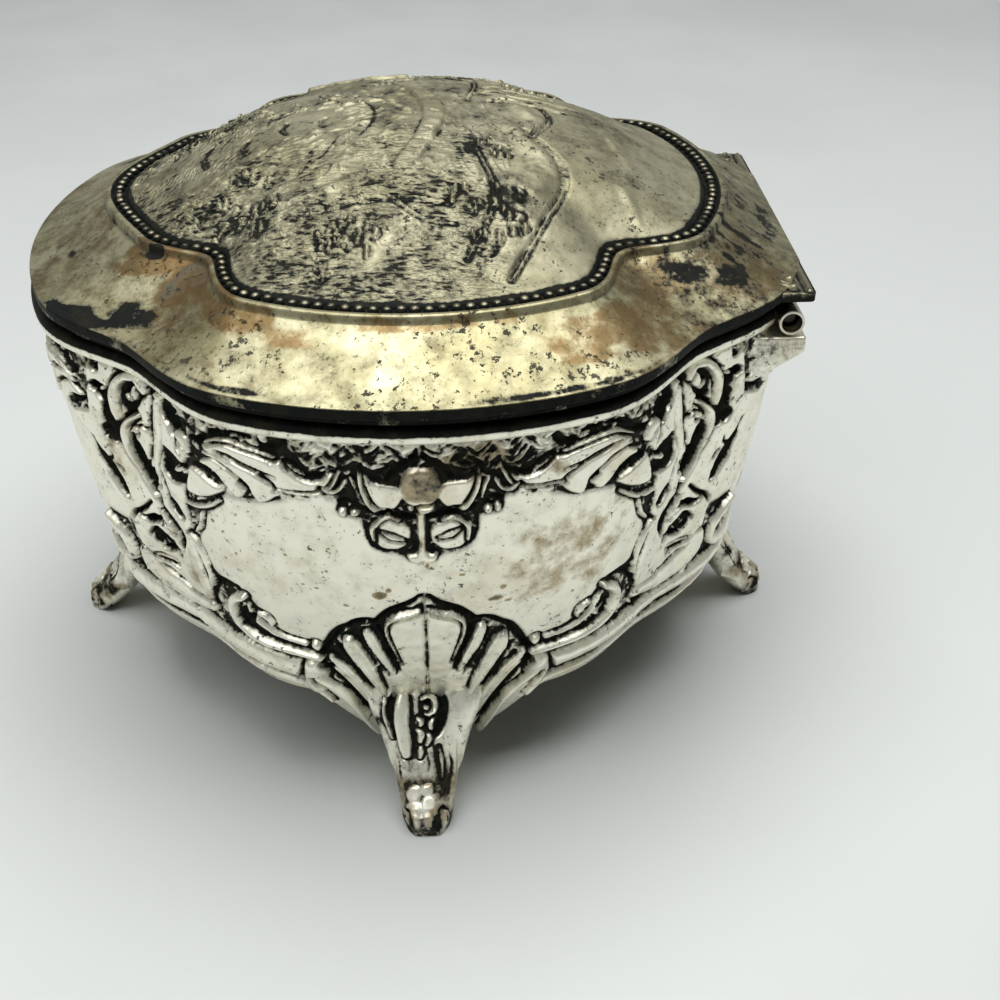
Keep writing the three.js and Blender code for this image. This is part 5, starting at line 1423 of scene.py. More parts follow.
@dataclass
class LidCasting:
    """The lid: a stepped border with a cove, a flat lip, and a picture on a low dome."""

    sizes: LidSizes = field(default_factory=LidSizes)
    columns: int = 720
    cove_rows: int = 64
    picture_cells: int = 150
    under_step: int = 6
    bead_pitch: float = 1.27
    sink: float = 0.5
    top: float = 64.7

    def build(self, border: bpy.types.Material, picture: bpy.types.Material,
              bead: bpy.types.Material) -> None:
        """Makes the pieces of the lid.

        Args:
            border: Finish of the border.
            picture: Finish of the picture.
            bead: Finish of the beads and the flange.
        """
        settle_piece(self.border(), Body.LID, Slot.TARNISHED, border, "lid_shell")
        settle_piece(self.picture(), Body.LID, Slot.TARNISHED, picture, "lid_shell")
        settle_piece(self.bead_row(), Body.LID, Slot.TARNISHED, bead, "lid_shell")
        settle_piece(self.flange(), Body.LID, Slot.TARNISHED, bead, "lid_shell")

    def border(self) -> bpy.types.Object:
        """Cove, rim and lip as one ring of metal."""
        s = self.sizes
        angle = np.linspace(0, 2 * np.pi, self.columns, endpoint=False)
        edge, band = s.edge_radius(angle, 0), s.edge_radius(angle, s.band_inset)
        rest = s.edge_radius(angle, s.band_inset + s.rest_width)
        lip = s.lip_radius(angle, 0)
        bed = s.lip_radius(angle, s.lip_width + s.bead_width)
        foot = s.lip_height - s.lip_step

        def row(radius: Array, height: Array | float) -> Array:
            return cylinder_points(angle, radius, height + 0 * angle)

        def inner(share: float, rise: float) -> Array:
            return row(rest + (lip - rest) * share, s.cove_height(rise) - s.wall)

        rest_in = row(rest, s.band_top)
        corners = [row(bed, s.lip_height - s.wall), inner(0.9, 1), inner(0.45, 0.6), rest_in,
                   self.clear(row(rest, s.base)), self.clear(row(band, s.base)),
                   self.clear(row(band, s.band_top)), row(edge, s.band_top), row(edge, s.face_top)]
        cove = np.linspace(0, 1, self.cove_rows)[1:]
        rows = self.rounded(corners, (0.0, 0.3, 0.5, 0.2, 0.15, 0.15, 0.1, 0.22, 0.28),
                            row(edge + (lip - edge) * cove[0], s.cove_height(cove[0])))
        uneven = 0.05 * speckle((self.cove_rows, self.columns + 60), 34, 71)
        uneven += 0.022 * speckle((self.cove_rows, self.columns + 60), 9, 72)
        uneven = closed_round(uneven, self.columns)
        for i, share in enumerate(cove[:-1]):
            level = np.sin(np.pi * share) ** 0.5
            rows.append(row(edge + (lip - edge) * share,
                            s.cove_height(share) + uneven[i] * level))
        top = [row(lip, foot), row(lip - 0.08, s.lip_height),
               row(s.lip_radius(angle, 0.86), s.lip_height - 0.05),
               row(s.lip_radius(angle, 1.0), s.lip_height - s.bead_depth - 0.12),
               row(bed, s.lip_height - s.bead_depth - 0.12)]
        rows += self.rounded(top, (0.5, 0.42, 0.2, 0.12, 0.0), rows[0])
        points = np.stack(rows)
        dirt_and_shade, tint = self.border_wear_and_painted_light(points, lip, edge)
        faces = [loft_faces(len(rows), self.columns, True, True)[:, ::-1]]
        return make_mesh("lid_border", points.reshape(-1, 3), faces, {"dirt_and_shade": dirt_and_shade, "tint": tint})

    def clear(self, points: Array) -> Array:
        """Keeps the rim in front of the hinge's tubes."""
        limit = self.sizes.rebate_y
        held = (np.abs(points[:, 0]) <= self.sizes.flange_half + 0.3) & (points[:, 1] > limit)
        out = points.copy()
        out[:, 1] = np.where(held, limit, out[:, 1])
        return out

    def rounded(self, corners: list[Array], radii: Sequence[float], after: Array) -> list[Array]:
        """Rounds the corners of a section.

        Args:
            corners: Rings of corner points in their order.
            radii: Radius of each corner.
            after: The ring that follows the last one.

        Returns:
            More rings, with a small curve in place of each corner.
        """
        out = []
        for i, (ring, radius) in enumerate(zip(corners, radii)):
            if radius == 0 or i == 0:
                out.append(ring)
                continue
            ahead = corners[i + 1] if i + 1 < len(corners) else after
            parts = []
            for other in (corners[i - 1], ahead):
                way = other - ring
                length = np.maximum(np.linalg.norm(way, axis=1, keepdims=True), 1e-6)
                parts.append(ring + way * np.minimum(radius / length, 0.45))
            for t in (0.0, 0.33, 0.67, 1.0):
                out.append((1 - t) ** 2 * parts[0] + 2 * t * (1 - t) * ring + t**2 * parts[1])
        return out

    def border_wear_and_painted_light(self, points: Array, lip: Array, edge: Array) -> tuple[Array, Array]:
        """A dark rim face, painted shade in the corner under the lip and on the bed between the
        beads, a painted highlight on the near lobe, darker on the right, dark patches and brown
        stains.

        Args:
            points: Rings of the border.
            lip: Radius of the lip at each column.
            edge: Radius of the rim at each column.

        Returns:
            Dirt with painted shade and highlight, and stain, ring by ring.
        """
        z = points[..., 2]
        radius = np.hypot(points[..., 0], points[..., 1])
        degrees = np.degrees(np.arctan2(points[..., 1], points[..., 0]))
        inward = (edge - radius) / (edge - lip)
        rough = speckle((z.shape[0], z.shape[1] + 60), 2.6, 73)[:, : z.shape[1]]
        broad = speckle((z.shape[0], z.shape[1] + 60), 9, 74)[:, : z.shape[1]]
        face = z < self.sizes.face_top - 0.12
        bed = (radius < lip[None, :] - 0.75) & (z > 55)
        # Painted shade in the corner where the cove meets the lip, under its edge.
        corner = smooth(np.abs(inward - 1), 0.07, 0.0) * (z > 54) * (z < 55.6)
        # Less dark and less stained on the lobe that faces +X: a painted highlight.
        near = smooth(np.abs((degrees + 180) % 360 - 180), 36, 20)
        right = smooth(degrees, 30, 48) * smooth(degrees, 140, 100)
        # The rim's face is painted dark; the rest of the border is darker on the right.
        dirt_and_shade = np.where(face, 0.76 + 0.14 * rough,
                        0.22 + 0.08 * broad - 0.12 * near + 0.2 * right)
        dirt_and_shade = np.maximum(dirt_and_shade, (0.5 - 0.35 * near) * corner * (0.8 + 0.5 * broad))
        # The bed between the beads is painted near black: painted shade between them.
        dirt_and_shade = np.maximum(dirt_and_shade, 0.95 * bed)
        tint = 0.12 + 0.12 * broad - 0.1 * near
        for rows, layer in ((WEAR_PATCHES, dirt_and_shade), (STAINED_PATCHES, tint)):
            for middle, level, half, deep, amount in rows:
                away = ((degrees - middle + 180) % 360 - 180) / half
                far = np.hypot(away, (inward - level) / deep) + 0.42 * rough + 0.35 * broad
                mask = amount * smooth(far, 1.6, 0.4) * (z > 50.4)
                np.maximum(layer, mask, out=layer)
        return np.clip(dirt_and_shade, 0, 1), np.clip(tint, 0, 1)

    def scene(self) -> Relief:
        """Relief of the picture."""
        sheet = Relief((-33, 33), (-33, 33), 0.13)
        shape = sheet.height.shape
        u, v = np.meshgrid(sheet.u, sheet.v)
        horizon = 8 + 3 * np.sin(u / 9 + 1)
        land = smooth(horizon - v, -1, 2)
        rough = speckle(shape, 12, 31)
        sheet.height[:] = -0.12 * land + 0.05 * rough
        sheet.dirt_and_shade[:] = np.clip(0.1 + 0.3 * land + 0.16 * rough, 0, 1)
        stream = ((0.4, -7), (-1.6, -12), (1.4, -18), (-1, -27), (7.6, -27), (8, -18), (4.4, -12),
                  (5, -7))
        water = sheet.region(stream, None, 0.3)
        grass = (land > 0.5) & (water < 0.3)

        def blades(x: float, y: float, chance: float) -> float:
            return math.radians(90 + 70 * (chance - 0.5)) + 0.4 * math.sin(x / 5)

        def lying(x: float, y: float, chance: float) -> float:
            return math.radians(12 * math.sin(y / 4) + 40 * (chance - 0.5))

        front = grass & (u + 4 * rough > -7)
        sheet.dashes((front & (v > 1)).astype(float), 260, (0.8, 2.2), 0.12, 0.09, lying, 32)
        sheet.dashes((front & (v <= 1)).astype(float), 900, (0.7, 1.9), 0.13, 0.24, blades, 33)
        sheet.settle(water, -0.18, 0.25)
        for form, height, widths, points in PICTURE_ROWS:
            thin = 0.7 if form is Form.SOFT else 0.4
            sheet.draw(Stroke(points, tuple(thin * w for w in widths), thin * height, form, 0.3))
        rng = np.random.default_rng(34)
        for x, y, reach, count, size in CLUMPS:
            for _ in range(count):
                turn, out = rng.uniform(0, 2 * np.pi), reach * math.sqrt(rng.uniform(0, 1))
                a, b = x + out * math.cos(turn), y + 0.85 * out * math.sin(turn)
                lean, half = rng.uniform(-0.8, 0.8), size * rng.uniform(0.35, 0.7)
                aside, foot = half * math.cos(lean), b - half * math.sin(lean)
                tuft = ((a - aside, foot), (a, b + 0.35 * half), (a + aside, foot))
                wide = size * rng.uniform(0.3, 0.5)
                widths = (0.35 * wide, 0.7 * wide, 0.35 * wide)
                sheet.draw(Stroke(tuft, widths, rng.uniform(0.2, 0.5), R, 0.22))
        sheet.height *= 1 + 0.4 * speckle(shape, 3, 39)
        sheet.finish()
        sheet.height += 0.012 * speckle(shape, 24, 35) + 0.014 * speckle(shape, 4, 36)
        return sheet

    def picture(self) -> bpy.types.Object:
        """The picture and the dome that it stands on, as one closed shell."""
        s, n = self.sizes, self.picture_cells
        top, share = self.disc(n)
        radius = np.hypot(top[..., 0], top[..., 1])
        height = s.dome_height(radius, share) - self.sink * (1 - share**4)
        rise, dirt_and_shade, _ = self.scene().at(top[..., 0], top[..., 1])
        fade = 1 - smooth(share, 0.975, 0.995)
        height = np.minimum(height + rise * fade, self.top)
        gutter = np.exp(-(((share - 0.993) / 0.008) ** 2))
        height = height - 0.25 * gutter
        height = np.where(share > 0.999, s.lip_height - s.bead_depth, height)
        # The picture's edge under the beads is painted near black: painted shade between it and the
        # beads.
        dirt_and_shade = np.maximum(0.85 * dirt_and_shade * fade, 0.95 * smooth(share, 0.978, 0.992))
        points = np.concatenate([top, height[..., None]], -1).reshape(-1, 3)
        m = n // self.under_step
        low, low_share = self.disc(m, 0.985)
        low_radius = np.hypot(low[..., 0], low[..., 1])
        under = s.dome_height(low_radius, low_share) - s.wall
        under = np.maximum(under, s.lip_height - s.wall)
        below = np.concatenate([low, under[..., None]], -1).reshape(-1, 3)
        border = grid_border(2 * n + 1, 2 * n + 1)
        wall = points[border].copy()
        wall[:, 2] = s.lip_height - s.wall
        start_wall, start_low = len(points), len(points) + len(wall)
        ring = np.arange(len(border))
        following = np.roll(ring, -1)
        sides = np.stack([border[following], border[ring], start_wall + ring,
                          start_wall + following], -1)
        under_faces = loft_faces(2 * m + 1, 2 * m + 1, False, False)[:, ::-1] + start_low
        coarse = grid_border(2 * m + 1, 2 * m + 1) + start_low
        k = self.under_step
        joins = []
        for i in range(len(coarse)):
            fine = [start_wall + (i * k + j) % len(border) for j in range(k + 1)]
            joins.append([coarse[(i + 1) % len(coarse)]] + fine[::-1] + [coarse[i]])
        joins = np.array(joins)[:, ::-1]
        faces = [loft_faces(2 * n + 1, 2 * n + 1, False, False), sides, under_faces, joins]
        everything = np.concatenate([points, wall, below])
        hidden = np.full(len(wall) + len(below), 0.5)
        cloud = speckle(dirt_and_shade.shape, 14, 37)
        x, y = top[..., 0], top[..., 1]
        spread = speckle(dirt_and_shade.shape, 9, 38)
        near = smooth(x + 2.5 * cloud, 4, 11) * smooth(y, 12, 4)
        left = smooth(-y - 0.2 * x + 3 * cloud, 7, 13) * smooth(x + 3 * cloud, -14, -5) * (1 - near)
        field_share = fade * smooth(y + 1.5 * cloud, 13, 8) * smooth(spread, -1.3, 0.2)
        mottled = 0.32 * smooth(cloud + 0.6 * spread, 0.2, 1.6)
        dirt_and_shade = np.clip(dirt_and_shade + mottled + 0.1 * field_share * (near + left), 0, 1)
        return make_mesh("lid_picture", everything, faces, {
            "dirt_and_shade": np.concatenate([dirt_and_shade.ravel(), hidden]),
            "comb": np.concatenate([(field_share * near).ravel(), 0 * hidden]),
            "comb_left": np.concatenate([(field_share * left * 0.9).ravel(), 0 * hidden])})

    def disc(self, n: int, reach: float = 1.0) -> tuple[Array, Array]:
        """Even grid over the picture's outline.

        Args:
            n: Cells from the middle to the edge.
            reach: Share of the outline that it fills.

        Returns:
            Places across and along, and the share of the way out to the edge.
        """
        s = self.sizes
        axis = np.linspace(-1, 1, 2 * n + 1)
        x, y = np.meshgrid(axis, axis)
        share = np.maximum(np.abs(x), np.abs(y))
        safe = np.where(share == 0, 1, share)
        wide = np.abs(x) >= np.abs(y)
        turn = np.where(wide, np.pi / 4 * (y / safe) * np.sign(x) + np.where(x < 0, np.pi, 0),
                        np.pi / 2 - np.pi / 4 * (x / safe) * np.sign(y) + np.where(y < 0, np.pi, 0))
        radius = share * reach * s.lip_radius(turn, s.lip_width + s.bead_width)
        return np.stack([radius * np.cos(turn), radius * np.sin(turn)], -1), share * reach

    def bead_row(self) -> bpy.types.Object:
        """Beads between the lip and the picture."""
        s = self.sizes
        deselect()
        bpy.ops.mesh.primitive_uv_sphere_add(segments=10, ring_count=6, radius=1)
        bead = bpy.context.object
        bpy.ops.object.mode_set(mode="EDIT")
        bpy.ops.mesh.select_all(action="SELECT")
        bpy.ops.transform.resize(value=(0.52, 0.52, 0.52))
        bpy.ops.object.mode_set(mode="OBJECT")
        shape = np.array([v.co for v in bead.data.vertices])
        quads = np.array([p.vertices for p in bead.data.polygons if len(p.vertices) == 4])
        tris = np.array([p.vertices for p in bead.data.polygons if len(p.vertices) == 3])
        bpy.data.objects.remove(bead)
        turn = np.linspace(0, 2 * np.pi, 4001)
        radius = s.lip_radius(turn, s.lip_width + 0.62)
        line = np.stack([radius * np.cos(turn), radius * np.sin(turn)], -1)
        far = np.concatenate([[0], np.cumsum(np.linalg.norm(np.diff(line, axis=0), axis=1))])
        count = int(far[-1] / self.bead_pitch)
        at = np.interp(np.arange(count) / count * far[-1], far, turn)
        rng = np.random.default_rng(41)
        points, four, three = [], [], []
        for i, a in enumerate(at):
            r = float(s.lip_radius(np.array(a), s.lip_width + 0.62))
            size = rng.uniform(0.93, 1.06)
            place = np.array([r * math.cos(a), r * math.sin(a), s.lip_height - 0.33])
            four.append(quads + i * len(shape))
            three.append(tris + i * len(shape))
            points.append(shape * size + place + rng.normal(0, 0.03, 3))
        points = np.concatenate(points)
        base = s.lip_height - 0.33
        # Painted shade: each bead is darker towards its lower side and light only at its top.
        dirt_and_shade = 0.3 + 0.65 * smooth(base + 0.5 - points[:, 2], 0.0, 0.3)
        return make_mesh("bead_row", points, [np.concatenate(four), np.concatenate(three)],
                         {"dirt_and_shade": dirt_and_shade})

    def flange(self) -> bpy.types.Object:
        """Plate behind the dome that covers the hinge, with a scroll of leaves on each side."""
        s = self.sizes
        sheet = Relief((-20.6, 20.6), (26.8, 40.6), 0.12)
        sheet.height[:] = -0.12
        sheet.dirt_and_shade[:] = np.clip(0.35 + 0.25 * speckle(sheet.height.shape, 10, 51), 0, 1)
        for side in (-1.0, 1.0):
            for i in range(6):
                x0 = 6.6 + 2.05 * i
                leaf = ((side * x0, 34.6 - 0.35 * i), (side * (x0 + 1.1), 36.4),
                        (side * (x0 + 2.4), 38.2))
                sheet.draw(Stroke(leaf, (0.3, 0.62, 0.35), 0.42, R, 0.25))
                vein = ((side * (x0 + 0.2), 35), (side * (x0 + 2.1), 37.8))
                sheet.draw(Stroke(vein, (0.08, 0.08), 0.05, G))
            stem = ((side * 5, 34.2), (side * 11, 33.4), (side * 17, 32), (side * 19.4, 30))
            sheet.draw(Stroke(stem, (0.35, 0.5, 0.45, 0.3), 0.4, R, 0.25))
        rim = ((-19.6, 39.7), (0, 39.75), (19.6, 39.7))
        sheet.draw(Stroke(rim, (0.35, 0.35), 0.14, R, 0.3))
        sheet.finish()
        nx, ny = 236, 78
        across = np.linspace(-1, 1, nx)
        y = np.linspace(s.flange_root, s.flange_edge, ny)
        corner = 0.6
        into = np.clip(y - (s.flange_edge - corner), 0, corner)
        half = s.flange_half - (corner - np.sqrt(corner**2 - into**2))
        x = half[:, None] * across
        yy = y[:, None] + 0 * x
        rise, dirt_and_shade, _ = sheet.at(x, yy)
        inside = np.minimum(half[:, None] - np.abs(x), s.flange_edge - yy)
        soft = smooth(inside, 0, 0.35)
        z = s.face_top + np.minimum(rise, 0.4) * soft - 0.22 * (1 - soft) ** 2
        top = np.stack([x, yy, z], -1).reshape(-1, 3)
        border = grid_border(ny, nx)
        low = top[border].copy()
        low[:, 2] = s.band_top
        middle = top[border].copy()
        middle[:, 2] = s.band_top + 0.12
        low[:, 0] *= 0.995
        ring = np.arange(len(border))
        after = np.roll(ring, -1)
        one, two = len(top), len(top) + len(border)
        sides = [np.stack([border[after], border[ring], one + ring, one + after], -1),
                 np.stack([one + after, one + ring, two + ring, two + after], -1),
                 (two + ring)[None, ::-1]]
        soot_and_shade = np.concatenate([np.maximum(dirt_and_shade.ravel(), 0), np.full(2 * len(border), 0.75)])
        return make_mesh("hinge_flange", np.concatenate([top, middle, low]),
                         [loft_faces(ny, nx, False, False), *sides], {"dirt_and_shade": soot_and_shade})


# Hinge


@dataclass
class Hinge:
    """Five lengths of thin tube on one pin, under the flange of the lid."""

    y: float = 38.1
    z: float = 47.8
    diameter: float = 2.65
    wall: float = 0.28
    length: float = 7.88
    pitch: float = 8.18
    pin_diameter: float = 1.5
    pin_length: float = 37.4
    solder_top: float = 49.78
    count: int = 5

    def build(self, tube_finish: bpy.types.Material, pin_finish: bpy.types.Material) -> None:
        """Makes the tubes and the pin.

        Args:
            tube_finish: Plated tube.
            pin_finish: Steel wire.
        """
        for i in range(self.count):
            on_lid = i % 2 == 1
            body = Body.LID if on_lid else Body.BOX
            number = i // 2 + 1
            piece = self.tube(f"{body.value}_tube_{number}", (i - 2) * self.pitch, on_lid)
            node = f"{'lid' if on_lid else 'body'}_knuckle_{number}"
            settle_piece(piece, body, Slot.TUBE, tube_finish, node)
        settle_piece(self.pin(), Body.BOX, Slot.PIN, pin_finish, "hinge_pin")

    def rod(self, name: str, radius: float, length: float, x: float, sides: int,
            ends: str = "NGON") -> bpy.types.Object:
        """Plain rod along X.

        Args:
            name: Name of the piece.
            radius: Its radius in millimetres.
            length: Its length.
            x: Middle of its length.
            sides: Sides of its section.
            ends: How its ends are filled.

        Returns:
            The rod.
        """
        deselect()
        bpy.ops.mesh.primitive_cylinder_add(vertices=sides, radius=radius * MM, depth=length * MM,
                                            location=(x * MM, self.y * MM, self.z * MM),
                                            rotation=(0, math.pi / 2, 0), end_fill_type=ends)
        rod = bpy.context.object
        rod.name = name
        bake_place(rod)
        bpy.context.view_layer.objects.active = rod
        rod.select_set(True)
        return rod

    def tube(self, name: str, x: float, on_lid: bool) -> bpy.types.Object:
        """One tube, bored through, with softened ends."""
        tube = self.rod(name, self.diameter / 2, self.length, x, 40, "NOTHING")
        wall = tube.modifiers.new("wall", "SOLIDIFY")
        wall.thickness, wall.offset = self.wall * MM, -1
        soften(tube, 0.06, 2, 50)
        shade_by_angle(tube, 35)
        if on_lid:
            self.add_solder(tube, x)
        soil(tube, 0.05)
        return tube

    def add_solder(self, tube: bpy.types.Object, x: float) -> None:
        """Adds the fillet of solder that holds a tube under the flange.

        Args:
            tube: The tube.
            x: Middle of its length.
        """
        half, wide = self.length / 2 - 0.35, 0.62
        top = self.solder_top
        rows = []
        for share in np.linspace(-1, 1, 15):
            swell = 1 - 0.25 * abs(share) ** 4
            section = [(-wide * 1.25 * swell, self.z + 0.98), (-wide * 0.85, self.z + 1.45),
                       (-wide * 1.1 * swell, top), (wide * 1.1 * swell, top),
                       (wide * 0.85, self.z + 1.45), (wide * 1.25 * swell, self.z + 0.98)]
            rows.append([(x + half * share, self.y + a, b) for a, b in section])
        points = np.array(rows)
        cols = points.shape[1]
        solder = make_mesh(tube.name + "_solder", points.reshape(-1, 3),
                           capped_faces(len(rows), cols))
        deselect()
        tube.select_set(True)
        solder.select_set(True)
        bpy.context.view_layer.objects.active = tube
        bpy.ops.object.join()
        deselect()

    def pin(self) -> bpy.types.Object:
        """The pin, with a small chamfer on its ends."""
        pin = self.rod("hinge_wire", self.pin_diameter / 2, self.pin_length, 0, 28)
        soften(pin, 0.12, 3)
        shade_by_angle(pin, 35)
        soil(pin, 0.3)
        return pin


# Well


@dataclass
class Well:
    """Velvet on the wall of the well and a padded velvet cushion on its floor."""

    sizes: CastingSizes = field(default_factory=CastingSizes)
    gap: float = 0.3
    lining: float = 0.9
    base: float = 17.1
    thickness: float = 2.6
    top: float = 47.2
    heights: tuple[float, ...] = (48.8, 44.237, 38.27, 27.74, 13.7)

    def radius(self, angle: Array, height: Array) -> Array:
        """Inside of the casting, straight between a few heights."""
        rows = [self.sizes.well_radius(angle, np.full_like(angle, h)) for h in self.heights]
        out = np.zeros(np.broadcast(angle, height).shape)
        for high, low, a, b in zip(self.heights, self.heights[1:], rows, rows[1:]):
            share = (high - height) / (high - low)
            out = np.where((height <= high) & (height >= low), a + (b - a) * share, out)
        return out

    def build(self, velvet: bpy.types.Material) -> None:
        """Makes the lining and the cushion.

        Args:
            velvet: Velvet.
        """
        lining = settle_piece(self.cloth(), Body.BOX, Slot.VELVET, velvet, "wall_lining")
        cushion = settle_piece(self.cushion(), Body.BOX, Slot.VELVET, velvet, "floor_pad")

    def cloth(self) -> bpy.types.Object:
        """Velvet on the wall, with its edges turned in."""
        angle = np.linspace(0, 2 * np.pi, 480, endpoint=False)
        low = self.base + self.thickness + self.gap
        z = np.linspace(low, self.top, 40)[:, None] + 0 * angle
        wave = closed_round(0.5 + 0.5 * speckle((40, 540), 16, 61), 480)
        edge = np.minimum(z - low, self.top - z)
        thick = self.lining * (0.62 + 0.3 * wave) * np.sqrt(np.clip(edge / 0.6, 0.12, 1))
        back = self.radius(angle, z) - self.gap
        front = cylinder_points(angle + 0 * z, back - thick, z)
        behind = cylinder_points(angle + 0 * z, back, z)
        points = np.concatenate([front, behind[::-1]])
        return make_mesh("velvet_lining", points.reshape(-1, 3),
                         [loft_faces(80, 480, True, True)])

    def cushion(self) -> bpy.types.Object:
        """Crowned pad with a rolled edge that fills the well's floor."""
        angle = np.linspace(0, 2 * np.pi, 360, endpoint=False)
        low, high = self.base, self.base + self.thickness
        profile = []
        for turn in np.linspace(-90, 90, 15):
            bulge, rise = math.cos(math.radians(turn)), math.sin(math.radians(turn))
            profile.append((1 - 0.028 * (1 - bulge), low + 0.85 * (1 + rise)))
        outline = self.radius(angle, np.full_like(angle, low)) - self.gap - 0.1
        rows = [cylinder_points(angle, outline * 0.5, low + 0 * angle)]
        for share, z in profile:
            rows.append(cylinder_points(angle, outline * share, z + 0 * angle))
        puckers = 0.05 * np.cos(angle * 44) + 0.04 * np.cos(angle * 31 + 1)
        for share in np.linspace(0.95, 0.04, 40):
            rise = low + 1.7 + (high - low - 1.7) * (1 - share**2.2)
            rise = rise - 0.05 + puckers * np.clip((share - 0.7) / 0.3, 0, 1) * (share < 0.94)
            rows.append(cylinder_points(angle, outline * share * 0.972, rise))
        points = np.stack(rows)
        return make_mesh("velvet_cushion", points.reshape(-1, 3),
                         capped_faces(*points.shape[:2]))


# Finishes


class Graph:
    """Node tree of one material, with short ways to add what its finishes need."""

    def __init__(self, name: str) -> None:
        """Starts a material with one shader."""
        self.material = bpy.data.materials.new(name)
        self.material.use_nodes = True
        self.tree = self.material.node_tree
        self.tree.nodes.clear()
        self.shader = self.tree.nodes.new("ShaderNodeBsdfPrincipled")
        output = self.tree.nodes.new("ShaderNodeOutputMaterial")
        self.link(self.shader.outputs["BSDF"], output.inputs["Surface"])
        self.place = self.tree.nodes.new("ShaderNodeTexCoord").outputs["Object"]

    def link(self, source: bpy.types.NodeSocket, target: bpy.types.NodeSocket) -> None:
        """Joins two sockets."""
        self.tree.links.new(source, target)

    def put(self, value: object, target: bpy.types.NodeSocket) -> None:
        """Sets a socket to a value, or joins it to another socket."""
        if isinstance(value, bpy.types.NodeSocket):
            self.link(value, target)
        else:
            target.default_value = value

    def noise(self, scale: float, detail: float = 4, roughness: float = 0.6, offset: float = 0,
              stretch: tuple[float, float, float] = (1, 1, 1)) -> bpy.types.NodeSocket:
        """Noise on the piece's own place, from 0 to 1."""
        mapping = self.tree.nodes.new("ShaderNodeMapping")
        mapping.inputs["Location"].default_value = (offset, offset * 0.7, -offset)
        mapping.inputs["Scale"].default_value = stretch
        self.link(self.place, mapping.inputs["Vector"])
        node = self.tree.nodes.new("ShaderNodeTexNoise")
        node.inputs["Scale"].default_value = scale
        node.inputs["Detail"].default_value = detail
        node.inputs["Roughness"].default_value = roughness
        self.link(mapping.outputs["Vector"], node.inputs["Vector"])
        return node.outputs["Fac"]

    def streaks(self, scale: float, length: float, turn: float, offset: float
                ) -> bpy.types.NodeSocket:
        """Noise drawn out in one direction, seen from above."""
        mapping = self.tree.nodes.new("ShaderNodeMapping")
        mapping.vector_type = "TEXTURE"
        mapping.inputs["Location"].default_value = (offset * MM, -offset * MM, 0)
        mapping.inputs["Rotation"].default_value = (0, 0, turn)
        mapping.inputs["Scale"].default_value = (length, 1, 1)
        self.link(self.place, mapping.inputs["Vector"])
        node = self.tree.nodes.new("ShaderNodeTexNoise")
        node.inputs["Scale"].default_value = scale
        node.inputs["Detail"].default_value = 2
        self.link(mapping.outputs["Vector"], node.inputs["Vector"])
        return node.outputs["Fac"]

    def cells(self, scale: float) -> bpy.types.NodeSocket:
        """Distance to the middles of random cells."""
        node = self.tree.nodes.new("ShaderNodeTexVoronoi")
        node.inputs["Scale"].default_value = scale
        self.link(self.place, node.inputs["Vector"])
        return node.outputs["Distance"]

    def attribute(self, name: str) -> bpy.types.NodeSocket:
        """A share kept on the mesh."""
        node = self.tree.nodes.new("ShaderNodeAttribute")
        node.attribute_name = name
        return node.outputs["Fac"]

    def math(self, kind: str, a: object, b: object = 0.0, clamp: bool = False
             ) -> bpy.types.NodeSocket:
        """A sum of two values."""
        node = self.tree.nodes.new("ShaderNodeMath")
        node.operation, node.use_clamp = kind, clamp
        self.put(a, node.inputs[0])
        self.put(b, node.inputs[1])
        return node.outputs["Value"]

    def step(self, value: object, low: float, high: float, first: float = 0.0, last: float = 1.0
             ) -> bpy.types.NodeSocket:
        """Smooth step of a value from first to last."""
        node = self.tree.nodes.new("ShaderNodeMapRange")
        node.interpolation_type = "SMOOTHSTEP"
        self.put(value, node.inputs["Value"])
        for key, number in (("From Min", low), ("From Max", high), ("To Min", first),
                            ("To Max", last)):
            node.inputs[key].default_value = number
        return node.outputs["Result"]

    def blend(self, share: object, a: object, b: object) -> bpy.types.NodeSocket:
        """Mix of two colours."""
        node = self.tree.nodes.new("ShaderNodeMix")
        node.data_type = "RGBA"
        self.put(share, node.inputs["Factor"])
        for key, value in (("A", a), ("B", b)):
            socket = next(s for s in node.inputs if s.name == key and s.type == "RGBA")
            self.put((*value, 1) if isinstance(value, tuple) and len(value) == 3 else value, socket)
        return next(s for s in node.outputs if s.type == "RGBA")

    def bump(self, height: bpy.types.NodeSocket, depth: float, before: object = None
             ) -> bpy.types.NodeSocket:
        """Bump of a depth in millimetres."""
        node = self.tree.nodes.new("ShaderNodeBump")
        node.inputs["Distance"].default_value = depth * MM
        self.link(height, node.inputs["Height"])
        if before is not None:
            self.link(before, node.inputs["Normal"])
        return node.outputs["Normal"]


